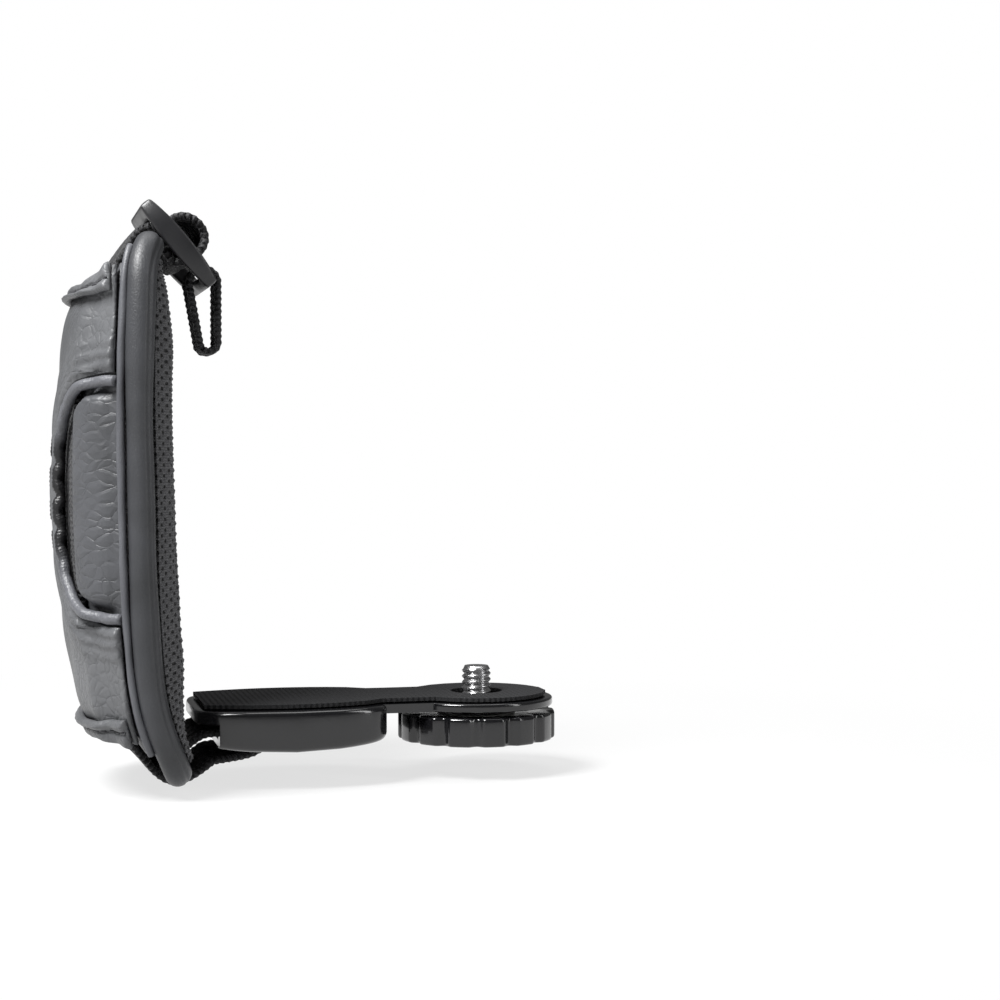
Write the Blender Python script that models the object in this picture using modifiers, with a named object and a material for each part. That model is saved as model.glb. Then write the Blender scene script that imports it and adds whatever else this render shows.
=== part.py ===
"""Camera hand grip strap: an arched hand pad on webbing, held by a base plate and a tripod thumbscrew.

Metres, +Z up. The origin lies on the rubber face that the camera sits on, and +X points from the
hand pad towards the tripod screw. Y runs across the webbing and the pad.

The pad is sewn from flat pattern pieces. Each piece is laid out flat, as s along the pad, t across it
and n outwards through its layers, and on_pad() then bends the flat layout to the arched, bowed form.
"""
import math

import bmesh
import bpy
import numpy as np
from mathutils import Matrix, Vector

# Clearance between pieces that touch on the real object, and between the pad's bent layers
GAP = 0.0003
LAYER_GAP = 0.0005

# How much further the pad's layers stay inside its edge at the two pressed ends than at the sides
END_MARGIN = 1.9

# Tripod screw and its wheel
SCREW_X = 0.020
THREAD_RADIUS = 0.003175
THREAD_RISE = 0.0055
WHEEL_RADIUS = 0.0172
WHEEL_THICKNESS = 0.0062
WHEEL_FLUTES = 14
FLUTE_DEPTH = 0.0011
WASHER_RADIUS = 0.0085
WASHER_THICKNESS = 0.0005
FLANGE_RADIUS = 0.0063
FLANGE_THICKNESS = 0.0008
INSERT_RADIUS = 0.0052
SOCKET_RADIUS = 0.0032
CLIP_RADIUS = 0.0054
CLIP_THICKNESS = 0.0006

# Base plate
SEAT_THICKNESS = 0.0008
SEAT_INSET = 0.0018
ARM_THICKNESS = 0.0019
ARM_HALF_WIDTH = 0.0115
DISC_RADIUS = 0.0167
BLOCK_LEFT = -0.0425
BLOCK_RIGHT = -0.0020
BLOCK_END_HALF_WIDTH = 0.0150
BLOCK_BULGE = 0.0042
BLOCK_END_DEPTH = 0.0072
BLOCK_BELLY = 0.0014
LIP_THICKNESS = 0.0026
LIP_LENGTH = 0.0045
SLOT_HEIGHT = 0.0034
BAR_LENGTH = 0.0085
SLOT_MOUTH = 0.0060
BAR_THICKNESS = 0.0014
EDGE_ROUND = 0.0008

# Webbing
WEBBING_WIDTH = 0.025
WEBBING_THICKNESS = 0.0016
LUG_WEBBING_WIDTH = 0.010
LUG_WEBBING_THICKNESS = 0.0014
LUG_LOOP_LENGTH = 0.0125
LUG_LOOP_RADIUS = 0.0030
LUG_FOOT_RADIUS = 0.0019
LUG_LOOP_TILT = math.radians(-5)
SIDE_CLEARANCE = 0.0006

# Form of the hand pad: its middle, lean, bow, arch and the curl of its two ends
PAD_X = -0.0638
PAD_Z = 0.0421
PAD_LEAN = math.radians(-0.94)
PAD_BOW_RADIUS = 0.226
PAD_ARCH_RADIUS = 0.0477
UPPER_FLATTENING = 0.363
LOWER_FLATTENING = 0.322
PAD_HALF_WIDTH = 0.0301
PAD_UPPER_LENGTH = 0.0613
PAD_LOWER_LENGTH = 0.0649
PAD_END_POWER = 6.0
PAD_SIDE_POWER = 4.0
UPPER_CURL = math.radians(43.8)
UPPER_CURL_LENGTH = 0.0175
LOWER_CURL = math.radians(24.5)
LOWER_CURL_LENGTH = 0.0343
UPPER_NOTCH = 0.0092
LOWER_NOTCH = 0.0077
END_PRESS = 0.0042
NOTCH_LENGTH = 0.026
CHANNEL_SLOPE = 0.013

# Layers of the hand pad
BINDING_RADIUS = 0.0028
LINING_THICKNESS = 0.0060
LINING_EDGE = 0.0010
LINING_OVERHANG = 0.0012
FOAM_THICKNESS = 0.0040
PANEL_THICKNESS = 0.0014
WINDOW_PUFF = 0.0009
COVER_THICKNESS = 0.0011
BAND_THICKNESS = 0.0016
BAND_WIDTH = 0.0062
SLEEVE_HALF_WIDTH = 0.0152
SLEEVE_SLOPE = 0.0050
COVER_TOP = PAD_UPPER_LENGTH - 0.0128
COVER_BOTTOM = 0.0154 - PAD_LOWER_LENGTH
SLEEVE_END = 0.0040

# Window of the outer cover, on each side of its waist
WINDOW_MIDDLE = 0.0008
WINDOW_HALF_HEIGHT = 0.0240
WAIST_HALF_WIDTH = 0.0075
WINDOW_POWER = 2.8
RIM_RADIUS = 0.0011
RIM_GATHER = 0.12
RIM_GATHER_PITCH = 0.0034
RIM_MARGIN = RIM_RADIUS * (1.0 + RIM_GATHER) + GAP

# Buckle
BUCKLE_REACH = 0.0085
BUCKLE_RISE = 0.0036
BUCKLE_ANGLE = math.radians(50)
BUCKLE_END_BAR = 0.0034
BUCKLE_MIDDLE_BAR = 0.0034
BUCKLE_LUG_BAR = 0.0028
BUCKLE_SLOT = 0.0060
BUCKLE_RAIL = 0.0030
BUCKLE_THICKNESS = 0.0028
BUCKLE_BULGE = 0.0020
HUMP_HEIGHT = 0.0062
TAIL_LENGTH = 0.0045

# Heights that follow from the sizes above
PLATE_TOP = -SEAT_THICKNESS - GAP
PLATE_BOTTOM = PLATE_TOP - ARM_THICKNESS
WASHER_TOP = PLATE_BOTTOM - GAP
WHEEL_TOP = WASHER_TOP - WASHER_THICKNESS - GAP
WHEEL_BOTTOM = WHEEL_TOP - WHEEL_THICKNESS
PANEL_INNER = FOAM_THICKNESS - BINDING_RADIUS + GAP
PANEL_OUTER = PANEL_INNER + PANEL_THICKNESS
WEBBING_INNER = max(PANEL_OUTER, BINDING_RADIUS) + LAYER_GAP
WEBBING_LEVEL = WEBBING_INNER + WEBBING_THICKNESS / 2
COVER_LOW = PANEL_OUTER + LAYER_GAP
COVER_STEP = WEBBING_INNER + WEBBING_THICKNESS + LAYER_GAP - COVER_LOW
LAYER_INSET = BINDING_RADIUS + LAYER_GAP
HALF_WEBBING = WEBBING_WIDTH / 2

# Facets of every full layer of the pad, so that stacked layers bend alike
PAD_ROWS = 20
PAD_COLUMNS = 12
WINDOW_ROWS = 22
END_ROWS = 6


def smooth(x):
    """A step from 0 to 1 with level ends."""
    x = np.clip(x, 0.0, 1.0)
    return x * x * (3.0 - 2.0 * x)


def tangent_angle(s):
    """Angle of the pad's centre line from the vertical, at s along it."""
    upper = smooth((s - PAD_UPPER_LENGTH + UPPER_CURL_LENGTH) / UPPER_CURL_LENGTH)
    lower = smooth((-s - PAD_LOWER_LENGTH + LOWER_CURL_LENGTH) / LOWER_CURL_LENGTH)
    return PAD_LEAN + s / PAD_BOW_RADIUS + UPPER_CURL * upper - LOWER_CURL * lower


def integrated_line(function, s):
    """The running integral of a function of the tangent angle, zero at the pad's middle."""
    value = function(tangent_angle(s))
    steps = (value[1:] + value[:-1]) / 2 * np.diff(s)
    total = np.concatenate([[0.0], np.cumsum(steps)])
    return total - np.interp(0.0, s, total)


LINE_S = np.linspace(-1.5 * PAD_LOWER_LENGTH, 1.5 * PAD_UPPER_LENGTH, 1501)
LINE_X = PAD_X + integrated_line(np.sin, LINE_S)
LINE_Z = PAD_Z + integrated_line(np.cos, LINE_S)


def pad_frame(s):
    """Point on the pad's centre line and the outward direction there, both in the XZ plane."""
    angle = tangent_angle(s)
    point = Vector((float(np.interp(s, LINE_S, LINE_X)), 0.0, float(np.interp(s, LINE_S, LINE_Z))))
    return point, Vector((-math.cos(angle), 0.0, math.sin(angle)))


def arch_share(s):
    """How strongly the pad arches across at s: fully in its middle, less towards both ends."""
    upper = float(smooth(s / PAD_UPPER_LENGTH))
    lower = float(smooth(-s / PAD_LOWER_LENGTH))
    return 1.0 - UPPER_FLATTENING * upper - LOWER_FLATTENING * lower


def on_pad(s, t, n):
    """Bend the flat layout: s along the pad, t across it, n outwards through its layers."""
    upper = float(smooth((s - PAD_UPPER_LENGTH + NOTCH_LENGTH) / NOTCH_LENGTH))
    lower = float(smooth((-s - PAD_LOWER_LENGTH + NOTCH_LENGTH) / NOTCH_LENGTH))
    channel = 1.0 - float(smooth((abs(t) - HALF_WEBBING) / CHANNEL_SLOPE))
    point, outward = pad_frame(s - channel * (UPPER_NOTCH * upper - LOWER_NOTCH * lower))
    n = n - END_PRESS * channel * (upper + lower)
    angle = t / PAD_ARCH_RADIUS
    drop = PAD_ARCH_RADIUS * (math.cos(angle) - 1.0) * arch_share(s) + n * math.cos(angle)
    return point + outward * drop + Vector((0.0, (PAD_ARCH_RADIUS + n) * math.sin(angle), 0.0))


def pad_breadth(s, inset=0.0):
    """Half the pad's width at s, for an outline that lies inset inside the pad's edge."""
    length = PAD_UPPER_LENGTH if s > 0 else PAD_LOWER_LENGTH
    share = min(abs(s) / (length - inset * END_MARGIN), 1.0)
    return (PAD_HALF_WIDTH - inset) * (1.0 - share ** PAD_END_POWER) ** (1.0 / PAD_SIDE_POWER)


def fullness(s):
    """How full the padding is at s: 1 in the middle, 0 at the ends."""
    length = PAD_UPPER_LENGTH if s > 0 else PAD_LOWER_LENGTH
    return 1.0 - float(smooth(abs(s) / length * 2.2 - 1.1))


def window_depth(s, grow):
    """How far the cover's window, grown by a margin, reaches in from the pad's side at s."""
    share = abs(s - WINDOW_MIDDLE) / (WINDOW_HALF_HEIGHT + grow)
    if share >= 1.0:
        return 0.0
    reach = PAD_HALF_WIDTH - WAIST_HALF_WIDTH + grow
    return reach * (1.0 - share ** WINDOW_POWER) ** (1.0 / WINDOW_POWER)


def clear_scene():
    for item in list(bpy.data.objects):
        bpy.data.objects.remove(item, do_unlink=True)


def collection(name):
    group = bpy.data.collections.new(name)
    bpy.context.scene.collection.children.link(group)
    return group


def material(name, colour, roughness, metallic=0.0):
    result = bpy.data.materials.new(name)
    result.use_nodes = True
    shader = result.node_tree.nodes["Principled BSDF"]
    shader.inputs["Base Color"].default_value = (*colour, 1.0)
    shader.inputs["Roughness"].default_value = roughness
    shader.inputs["Metallic"].default_value = metallic
    result.diffuse_color = (*colour, 1.0)
    return result


def from_bmesh(name, bm, finish, group):
    """A closed mesh with its faces turned outwards, smooth but for its sharp edges."""
    bmesh.ops.recalc_face_normals(bm, faces=bm.faces[:])
    if bm.calc_volume(signed=True) < 0.0:
        bmesh.ops.reverse_faces(bm, faces=bm.faces[:])
    mesh = bpy.data.meshes.new(name)
    bm.to_mesh(mesh)
    bm.free()
    mesh.shade_smooth()
    mesh.set_sharp_from_angle(angle=math.radians(40))
    mesh.materials.append(finish)
    item = bpy.data.objects.new(name, mesh)
    group.objects.link(item)
    return item


def slab(rows, columns):
    """A closed flat slab: x and y run from -1 to 1 over it, and z is 0 below and 1 above."""
    bm = bmesh.new()
    bmesh.ops.create_grid(bm, x_segments=columns, y_segments=rows, size=1.0)
    raised = bmesh.ops.extrude_face_region(bm, geom=bm.faces[:], use_keep_orig=True)
    for item in raised["geom"]:
        if isinstance(item, bmesh.types.BMVert):
            item.co.z = 1.0
    return bm


def sine_steps(low, high, rows):
    """Places from low to high that lie closer together towards both ends."""
    return low + (high - low) * (np.sin(np.linspace(-math.pi / 2, math.pi / 2, rows + 1)) + 1.0) / 2


def pattern_piece(name, places, columns, breadth, inner, outer, finish, group, crowd=False):
    """A flat pattern piece, cut to breadth(s) at each place s, between two levels, bent to the pad.

    Its columns are even, or crowd towards its sides where those are steep.
    """
    rows = len(places) - 1
    bm = slab(rows, columns)
    for vert in bm.verts:
        across, along, level = vert.co
        s = float(places[round((along + 1.0) / 2 * rows)])
        share = math.sin(across * math.pi / 2) if crowd else across
        t = share * breadth(s)
        n = outer(s, t, share) if level > 0.5 else inner(s, t, share)
        vert.co = on_pad(s, t, n)
    return from_bmesh(name, bm, finish, group)


def make_hand_lining(finish, group):
    """The knitted cushion against the hand: thick, with a steep side wall past the edge binding."""
    top = -BINDING_RADIUS - LAYER_GAP

    def low(s, t, share):
        side = (1.0 - min(abs(share), 0.999) ** 8) ** 0.25
        return top - LINING_EDGE - LINING_THICKNESS * fullness(s) * side

    end = BINDING_RADIUS * END_MARGIN
    places = sine_steps(-PAD_LOWER_LENGTH + end, PAD_UPPER_LENGTH - end, PAD_ROWS)
    return pattern_piece("hand_lining", places, PAD_COLUMNS, lambda s: pad_breadth(s) + LINING_OVERHANG,
                         low, lambda s, t, share: top, finish, group, crowd=True)


def inset_places(inset):
    """The places of a layer that lies inset inside the pad's edge, with blunt ends."""
    blunt = 0.985
    low = -(PAD_LOWER_LENGTH - inset * END_MARGIN) * blunt
    high = (PAD_UPPER_LENGTH - inset * END_MARGIN) * blunt
    return sine_steps(low, high, PAD_ROWS)


def make_foam_core(finish, group):
    return pattern_piece("foam_core", inset_places(LAYER_INSET), PAD_COLUMNS,
                         lambda s: pad_breadth(s, LAYER_INSET),
                         lambda s, t, share: -BINDING_RADIUS,
                         lambda s, t, share: FOAM_THICKNESS - BINDING_RADIUS, finish, group)


def make_back_panel(finish, group):
    """The grained panel that shows in the cover's windows, where it swells between waist and edge."""

    def outer(s, t, share):
        inside = float(smooth(window_depth(s, -RIM_RADIUS * 4) / 0.008))
        between = float(smooth((abs(t) - HALF_WEBBING - LAYER_GAP) / 0.004))
        edge = float(smooth((1.0 - abs(share)) / 0.12))
        return PANEL_OUTER + WINDOW_PUFF * inside * between * edge

    return pattern_piece("back_panel", inset_places(LAYER_INSET), PAD_COLUMNS,
                         lambda s: pad_breadth(s, LAYER_INSET),
                         lambda s, t, share: PANEL_INNER, outer, finish, group)


def cover_level(t):
    """Underside of the outer cover: it rises over the webbing and lies on the panel beside it."""
    return COVER_LOW + COVER_STEP * (1.0 - float(smooth((abs(t) - SLEEVE_HALF_WIDTH) / SLEEVE_SLOPE)))


def cover_breadth(s):
    """Half the hourglass cover's width: the pad's own, less the window and its rim."""
    side = PAD_HALF_WIDTH - window_depth(s, RIM_MARGIN)
    return min(side, pad_breadth(s, LAYER_INSET))


def make_outer_cover(finish, group):
    """The hourglass skin over the webbing, with rows crowded where its two windows end."""
    reach = WINDOW_HALF_HEIGHT + RIM_MARGIN
    low, high = WINDOW_MIDDLE - reach, WINDOW_MIDDLE + reach
    places = [*np.linspace(COVER_BOTTOM, low, END_ROWS, endpoint=False), *sine_steps(low, high, WINDOW_ROWS),
              *np.linspace(high, COVER_TOP, END_ROWS + 1)[1:]]
    return pattern_piece("outer_cover", places, PAD_COLUMNS, cover_breadth,
                         lambda s, t, share: cover_level(t),
                         lambda s, t, share: cover_level(t) + COVER_THICKNESS, finish, group)


def make_cross_band(name, middle, finish, group):
    """The folded strip that hems the mouth of the cover's sleeve."""

    def low(s, t, share):
        return cover_level(t) + COVER_THICKNESS + LAYER_GAP

    def high(s, t, share):
        crown = 1.0 - 0.35 * ((s - middle) / (BAND_WIDTH / 2)) ** 2
        return low(s, t, share) + BAND_THICKNESS * crown

    places = sine_steps(middle - BAND_WIDTH / 2, middle + BAND_WIDTH / 2, 4)
    return pattern_piece(name, places, PAD_COLUMNS, lambda s: pad_breadth(s, LAYER_INSET), low, high, finish, group)


def even_points(points, count):
    """Points spaced evenly along a dense line."""
    line = np.array(points)
    steps = np.linalg.norm(np.diff(line, axis=0), axis=1)
    run = np.concatenate([[0.0], np.cumsum(steps)])
    places = np.linspace(0.0, run[-1], count)
    return [Vector([float(np.interp(place, run, line[:, axis])) for axis in range(3)]) for place in places]


def tube(name, points, radius, finish, group, closed=False, swell=None):
    """A round cord or rolled edge along points, with a radius that may swell along it."""
    curve = bpy.data.curves.new(name, "CURVE")
    curve.dimensions = "3D"
    curve.bevel_depth = radius
    curve.bevel_resolution = 2
    curve.use_fill_caps = not closed
    spline = curve.splines.new("POLY")
    spline.points.add(len(points) - 1)
    for place, (point, position) in enumerate(zip(spline.points, points)):
        point.co = (*position, 1.0)
        point.radius = 1.0 if swell is None else swell(place)
    spline.use_cyclic_u = closed
    curve.materials.append(finish)
    item = bpy.data.objects.new(name, curve)
    group.objects.link(item)
    return item


def make_edge_binding(finish, group):
    """The rolled binding all round the pad's edge, on a superellipse outline."""
    dense = []
    for turn in np.linspace(0.0, 2 * math.pi, 721):
        length = PAD_UPPER_LENGTH if math.cos(turn) > 0 else PAD_LOWER_LENGTH
        s = math.copysign(length * abs(math.cos(turn)) ** (2 / PAD_END_POWER), math.cos(turn))
        t = math.copysign(PAD_HALF_WIDTH * abs(math.sin(turn)) ** (2 / PAD_SIDE_POWER), math.sin(turn))
        dense.append(on_pad(s, t, 0.0))
    return tube("edge_binding", even_points(dense, 71)[:-1], BINDING_RADIUS, finish, group, closed=True)


def make_window_rim(name, side, finish, group):
    """The gathered edging round one window, from the binding in to the waist and out again."""
    dense = []
    for turn in np.linspace(-math.pi / 2, math.pi / 2, 361):
        s = WINDOW_MIDDLE + math.copysign(WINDOW_HALF_HEIGHT * abs(math.sin(turn)) ** (2 / WINDOW_POWER), turn)
        reach = (PAD_HALF_WIDTH - WAIST_HALF_WIDTH) * math.cos(turn) ** (2 / WINDOW_POWER)
        t = PAD_HALF_WIDTH - reach
        if t > pad_breadth(s) - LAYER_INSET - RIM_RADIUS:
            continue
        full = RIM_RADIUS * (1.0 + RIM_GATHER)
        clear = PANEL_OUTER + WINDOW_PUFF / 2 + LAYER_GAP
        dense.append(on_pad(s, t * side, max(cover_level(t - RIM_RADIUS * 2), clear) + full))
    length = sum((b - a).length for a, b in zip(dense, dense[1:]))
    gathers = round(length / RIM_GATHER_PITCH)

    def swell(place):
        return 1.0 + RIM_GATHER * math.cos(place * math.pi)

    return tube(name, even_points(dense, gathers * 2 + 1), RIM_RADIUS, finish, group, swell=swell)


def arc(centre, radius, start, end, count):
    """Points of an arc in the XZ plane, angles in degrees from +X towards +Z."""
    angles = np.radians(np.linspace(start, end, count))
    return [centre + Vector((radius * math.cos(a), 0.0, radius * math.sin(a))) for a in angles]


def buckle_axes():
    """Middle of the buckle, its direction from the end bar to the lug bar, and its outward side."""
    along = Vector((math.cos(BUCKLE_ANGLE), 0.0, -math.sin(BUCKLE_ANGLE)))
    outward = Vector((math.sin(BUCKLE_ANGLE), 0.0, math.cos(BUCKLE_ANGLE)))
    middle = on_pad(PAD_UPPER_LENGTH, 0.0, 0.0) + Vector((BUCKLE_REACH, 0.0, BUCKLE_RISE))
    return middle, along, outward


def buckle_point(along_place, outward_place):
    middle, along, outward = buckle_axes()
    return middle + along * along_place + outward * outward_place


def bezier(start, start_pull, end_pull, end, count):
    """Points of a cubic curve, ends included."""
    points = []
    for k in np.linspace(0.0, 1.0, count):
        a, b, c, d = (1 - k) ** 3, 3 * k * (1 - k) ** 2, 3 * k * k * (1 - k), k ** 3
        points.append(start * a + start_pull * b + end_pull * c + end * d)
    return points


def ribbon(name, path, arching, width, thickness, finish, group, closed=False):
    """Flat webbing along a path in the XZ plane; arching is 1 where it lies bent over the pad's arch."""
    columns = 4
    bm = bmesh.new()
    rows = []
    count = len(path)
    for place, point in enumerate(path):
        before = path[(place - 1) % count] if closed or place else point
        after = path[(place + 1) % count] if closed or place < count - 1 else point
        along = (after - before).normalized()
        outward = Vector((along.z, 0.0, -along.x))
        radius = PAD_ARCH_RADIUS + WEBBING_LEVEL
        row = []
        for column in range(columns + 1):
            t = width * (column / columns - 0.5)
            drop = (radius * math.cos(t / radius) - radius) * arching[place]
            side = t + (radius * math.sin(t / radius) - t) * arching[place]
            row.append(bm.verts.new(point + outward * drop + Vector((0.0, side, 0.0))))
        rows.append(row)
    pairs = list(zip(rows, rows[1:] + rows[:1])) if closed else list(zip(rows, rows[1:]))
    for row, following in pairs:
        for column in range(columns):
            bm.faces.new((row[column], row[column + 1], following[column + 1], following[column]))
    item = from_bmesh(name, bm, finish, group)
    wall = item.modifiers.new("webbing thickness", "SOLIDIFY")
    wall.thickness = thickness
    wall.offset = 0.0
    wall.use_even_offset = True
    return item


def sleeve_point(s):
    """Middle of the webbing where it runs inside the cover's sleeve."""
    return on_pad(s, 0.0, WEBBING_LEVEL)


def make_main_webbing(finish, group):
    """One length of webbing: buckle, sleeve, under the pad's end, round the plate's bar and back."""
    half_bar = BUCKLE_MIDDLE_BAR / 2
    slot_middle = half_bar + BUCKLE_SLOT / 2
    under = -BUCKLE_THICKNESS / 2 - GAP - WEBBING_THICKNESS / 2
    beside_bar = half_bar + GAP * 2 + WEBBING_THICKNESS / 2
    tail_end = buckle_point(beside_bar - TAIL_LENGTH, under - 0.0003)
    near_slot = buckle_point(beside_bar, 0.0)
    far_slot = buckle_point(-slot_middle, 0.0)
    tail = bezier(tail_end, buckle_point(half_bar * 0.6, under - 0.0006), buckle_point(beside_bar, under - 0.0012),
                  near_slot, 8)
    hump = bezier(near_slot, buckle_point(slot_middle * 1.3, HUMP_HEIGHT * 1.3),
                  buckle_point(-slot_middle * 1.5, HUMP_HEIGHT * 1.35), far_slot, 13)
    sleeve_s = np.linspace(COVER_TOP + SLEEVE_END, COVER_BOTTOM - SLEEVE_END, 32)
    sleeve = [sleeve_point(float(s)) for s in sleeve_s]
    mouth = sleeve[0]
    inward = (sleeve[0] - sleeve[1]).normalized()
    lead_in = bezier(far_slot, buckle_point(-slot_middle - 0.004, -0.0035), mouth + inward * 0.0115, mouth, 9)
    start = sleeve[-1]
    leaving = (sleeve[-1] - sleeve[-2]).normalized()
    bar_left = BLOCK_LEFT + LIP_LENGTH
    bar_top = PLATE_TOP - LIP_THICKNESS - SLOT_HEIGHT
    bar_bottom = bar_top - BAR_THICKNESS
    turn_x = bar_left + BAR_LENGTH + GAP + WEBBING_THICKNESS / 2
    upper_z = bar_top + GAP + WEBBING_THICKNESS / 2
    lower_z = bar_bottom - 0.0018 - WEBBING_THICKNESS / 2
    low_point = Vector((bar_left - 0.001, 0.0, lower_z - 0.0006))
    under_run = bezier(start, start + leaving * 0.0120, low_point - Vector((0.010, 0.0, 0.0078)), low_point, 14)
    under_bar = bezier(low_point, low_point + Vector((0.006, 0.0, 0.0008)),
                       Vector((turn_x - 0.0005, 0.0, lower_z + 0.0004)),
                       Vector((turn_x, 0.0, bar_bottom + 0.0004)), 9)
    over_bar = bezier(Vector((turn_x, 0.0, bar_bottom + 0.0004)), Vector((turn_x + 0.0002, 0.0, upper_z)),
                      Vector((turn_x - 0.0006, 0.0, upper_z)), Vector((turn_x - 0.0035, 0.0, upper_z)), 6)
    pad_end = on_pad(-PAD_LOWER_LENGTH, HALF_WEBBING, 0.0)
    seam = Vector((pad_end.x + BINDING_RADIUS + 2 * GAP, 0.0, pad_end.z + 0.0015))
    back_out = bezier(over_bar[-1], Vector((bar_left - 0.003, 0.0, upper_z)),
                      seam + Vector((0.004, 0.0, 0.0030)), seam, 9)
    before = tail + hump[1:] + lead_in[1:-1]
    after = under_run[1:] + under_bar[1:] + over_bar[1:] + back_out[1:]
    path = before + sleeve + after
    held = len(before) + len(sleeve)
    arching = []
    for place in range(len(path)):
        into = float(smooth((place - len(before) + 6) / 6))
        out = float(smooth((held + 5 - place) / 6))
        s = float(sleeve_s[min(max(place - len(before), 0), len(sleeve) - 1)])
        arching.append(min(into, out) * arch_share(s))
    return ribbon("main_webbing", path, arching, WEBBING_WIDTH, WEBBING_THICKNESS, finish, group)


def make_lug_webbing(finish, group):
    """The narrow closed loop that joins the buckle's lug bar to the strap lug of the camera."""
    bar = buckle_point(BUCKLE_MIDDLE_BAR / 2 + BUCKLE_SLOT + BUCKLE_LUG_BAR / 2, 0.0)
    foot = bar + Vector((-math.sin(LUG_LOOP_TILT), 0.0, -math.cos(LUG_LOOP_TILT))) * LUG_LOOP_LENGTH
    tilt = -math.degrees(LUG_LOOP_TILT)
    path = arc(bar, LUG_LOOP_RADIUS, 180 + tilt, tilt, 9) + arc(foot, LUG_FOOT_RADIUS, tilt, -180 + tilt, 7)
    return ribbon("lug_webbing", path, [0.0] * len(path), LUG_WEBBING_WIDTH, LUG_WEBBING_THICKNESS,
                  finish, group, closed=True)


def box(name, low, high, group):
    """A box between two corners, for a cutter or a block."""
    size = Vector(high) - Vector(low)
    centre = (Vector(high) + Vector(low)) / 2
    bm = bmesh.new()
    bmesh.ops.create_cube(bm, size=1.0, matrix=Matrix.Translation(centre) @ Matrix.Diagonal((*size, 1.0)))
    mesh = bpy.data.meshes.new(name)
    bm.to_mesh(mesh)
    bm.free()
    item = bpy.data.objects.new(name, mesh)
    group.objects.link(item)
    return item


def cylinder(name, x, radius, low, high, segments, group):
    """An upright cylinder between two heights on the line y = 0."""
    bm = bmesh.new()
    centre = Matrix.Translation((x, 0.0, (low + high) / 2))
    bmesh.ops.create_cone(bm, cap_ends=True, segments=segments, radius1=radius, radius2=radius,
                          depth=high - low, matrix=centre)
    mesh = bpy.data.meshes.new(name)
    bm.to_mesh(mesh)
    bm.free()
    item = bpy.data.objects.new(name, mesh)
    group.objects.link(item)
    return item


def use_cutter(item, cutter, operation="DIFFERENCE"):
    cutter.hide_render = True
    cutter.display_type = "WIRE"
    cut = item.modifiers.new(cutter.name, "BOOLEAN")
    cut.operation = operation
    cut.object = cutter
    cut.solver = "EXACT"


def round_edges(item):
    """Round a moulding's outer edges, then split its faces so that later cuts meet flat ones."""
    soften = item.modifiers.new("rounded edges", "BEVEL")
    soften.width = EDGE_ROUND
    soften.segments = 2
    soften.limit_method = "ANGLE"
    soften.angle_limit = math.radians(50)
    item.modifiers.new("flat facets", "TRIANGULATE")


def block_half_width(x):
    """Half the end block's width at x: bulged in its middle, like a lens in plan."""
    share = (x - BLOCK_LEFT) / (BLOCK_RIGHT - BLOCK_LEFT)
    return BLOCK_END_HALF_WIDTH + BLOCK_BULGE * math.sin(math.pi * share)


def make_base_plate(finish, group, cutters):
    """The moulded plate: an end block with a webbing bar, a thin arm and a round end for the screw."""
    bm = slab(14, 8)
    for vert in bm.verts:
        across, along, level = vert.co
        x = BLOCK_LEFT + (BLOCK_RIGHT - BLOCK_LEFT) * (along + 1.0) / 2
        belly = BLOCK_BELLY * (1.0 - along * along) * (1.0 - 0.35 * across * across)
        z = PLATE_TOP if level > 0.5 else PLATE_TOP - BLOCK_END_DEPTH - belly
        corner = 1.0 - 0.10 * max(0.0, abs(along) - 0.7) / 0.3
        vert.co = Vector((x, across * block_half_width(x) * corner, z))
    plate = from_bmesh("base_plate", bm, finish, group)
    round_edges(plate)
    arm = box("arm", (BLOCK_RIGHT - 0.004, -ARM_HALF_WIDTH, PLATE_BOTTOM), (SCREW_X, ARM_HALF_WIDTH, PLATE_TOP),
              cutters)
    disc = cylinder("disc", SCREW_X, DISC_RADIUS, PLATE_BOTTOM, PLATE_TOP, 56, cutters)
    use_cutter(plate, arm, "UNION")
    use_cutter(plate, disc, "UNION")
    half = HALF_WEBBING + SIDE_CLEARANCE
    slot_top = PLATE_TOP - LIP_THICKNESS
    bar_left = BLOCK_LEFT + LIP_LENGTH
    bar_right = bar_left + BAR_LENGTH
    beyond = BLOCK_LEFT - 0.005
    below = PLATE_TOP - BLOCK_END_DEPTH - BLOCK_BELLY - 0.004
    use_cutter(plate, box("lip_cut", (beyond, -DISC_RADIUS * 2, below), (bar_left, DISC_RADIUS * 2, slot_top),
                          cutters))
    use_cutter(plate, box("webbing_slot", (beyond, -half, slot_top - SLOT_HEIGHT),
                          (bar_right + SLOT_MOUTH, half, slot_top), cutters))
    use_cutter(plate, box("bar_underside", (beyond, -half, below),
                          (bar_right + SLOT_MOUTH / 2, half, slot_top - SLOT_HEIGHT - BAR_THICKNESS), cutters))
    use_cutter(plate, box("slot_mouth", (bar_right, -half, below), (bar_right + SLOT_MOUTH, half, slot_top - 0.0001),
                          cutters))
    use_cutter(plate, cylinder("screw_hole", SCREW_X, THREAD_RADIUS + GAP, PLATE_BOTTOM - 0.002,
                               PLATE_TOP + 0.002, 32, cutters))
    clip_floor = PLATE_TOP - CLIP_THICKNESS - GAP
    use_cutter(plate, cylinder("clip_recess", SCREW_X, CLIP_RADIUS + GAP, clip_floor, PLATE_TOP + 0.002, 32, cutters))
    return plate


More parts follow.
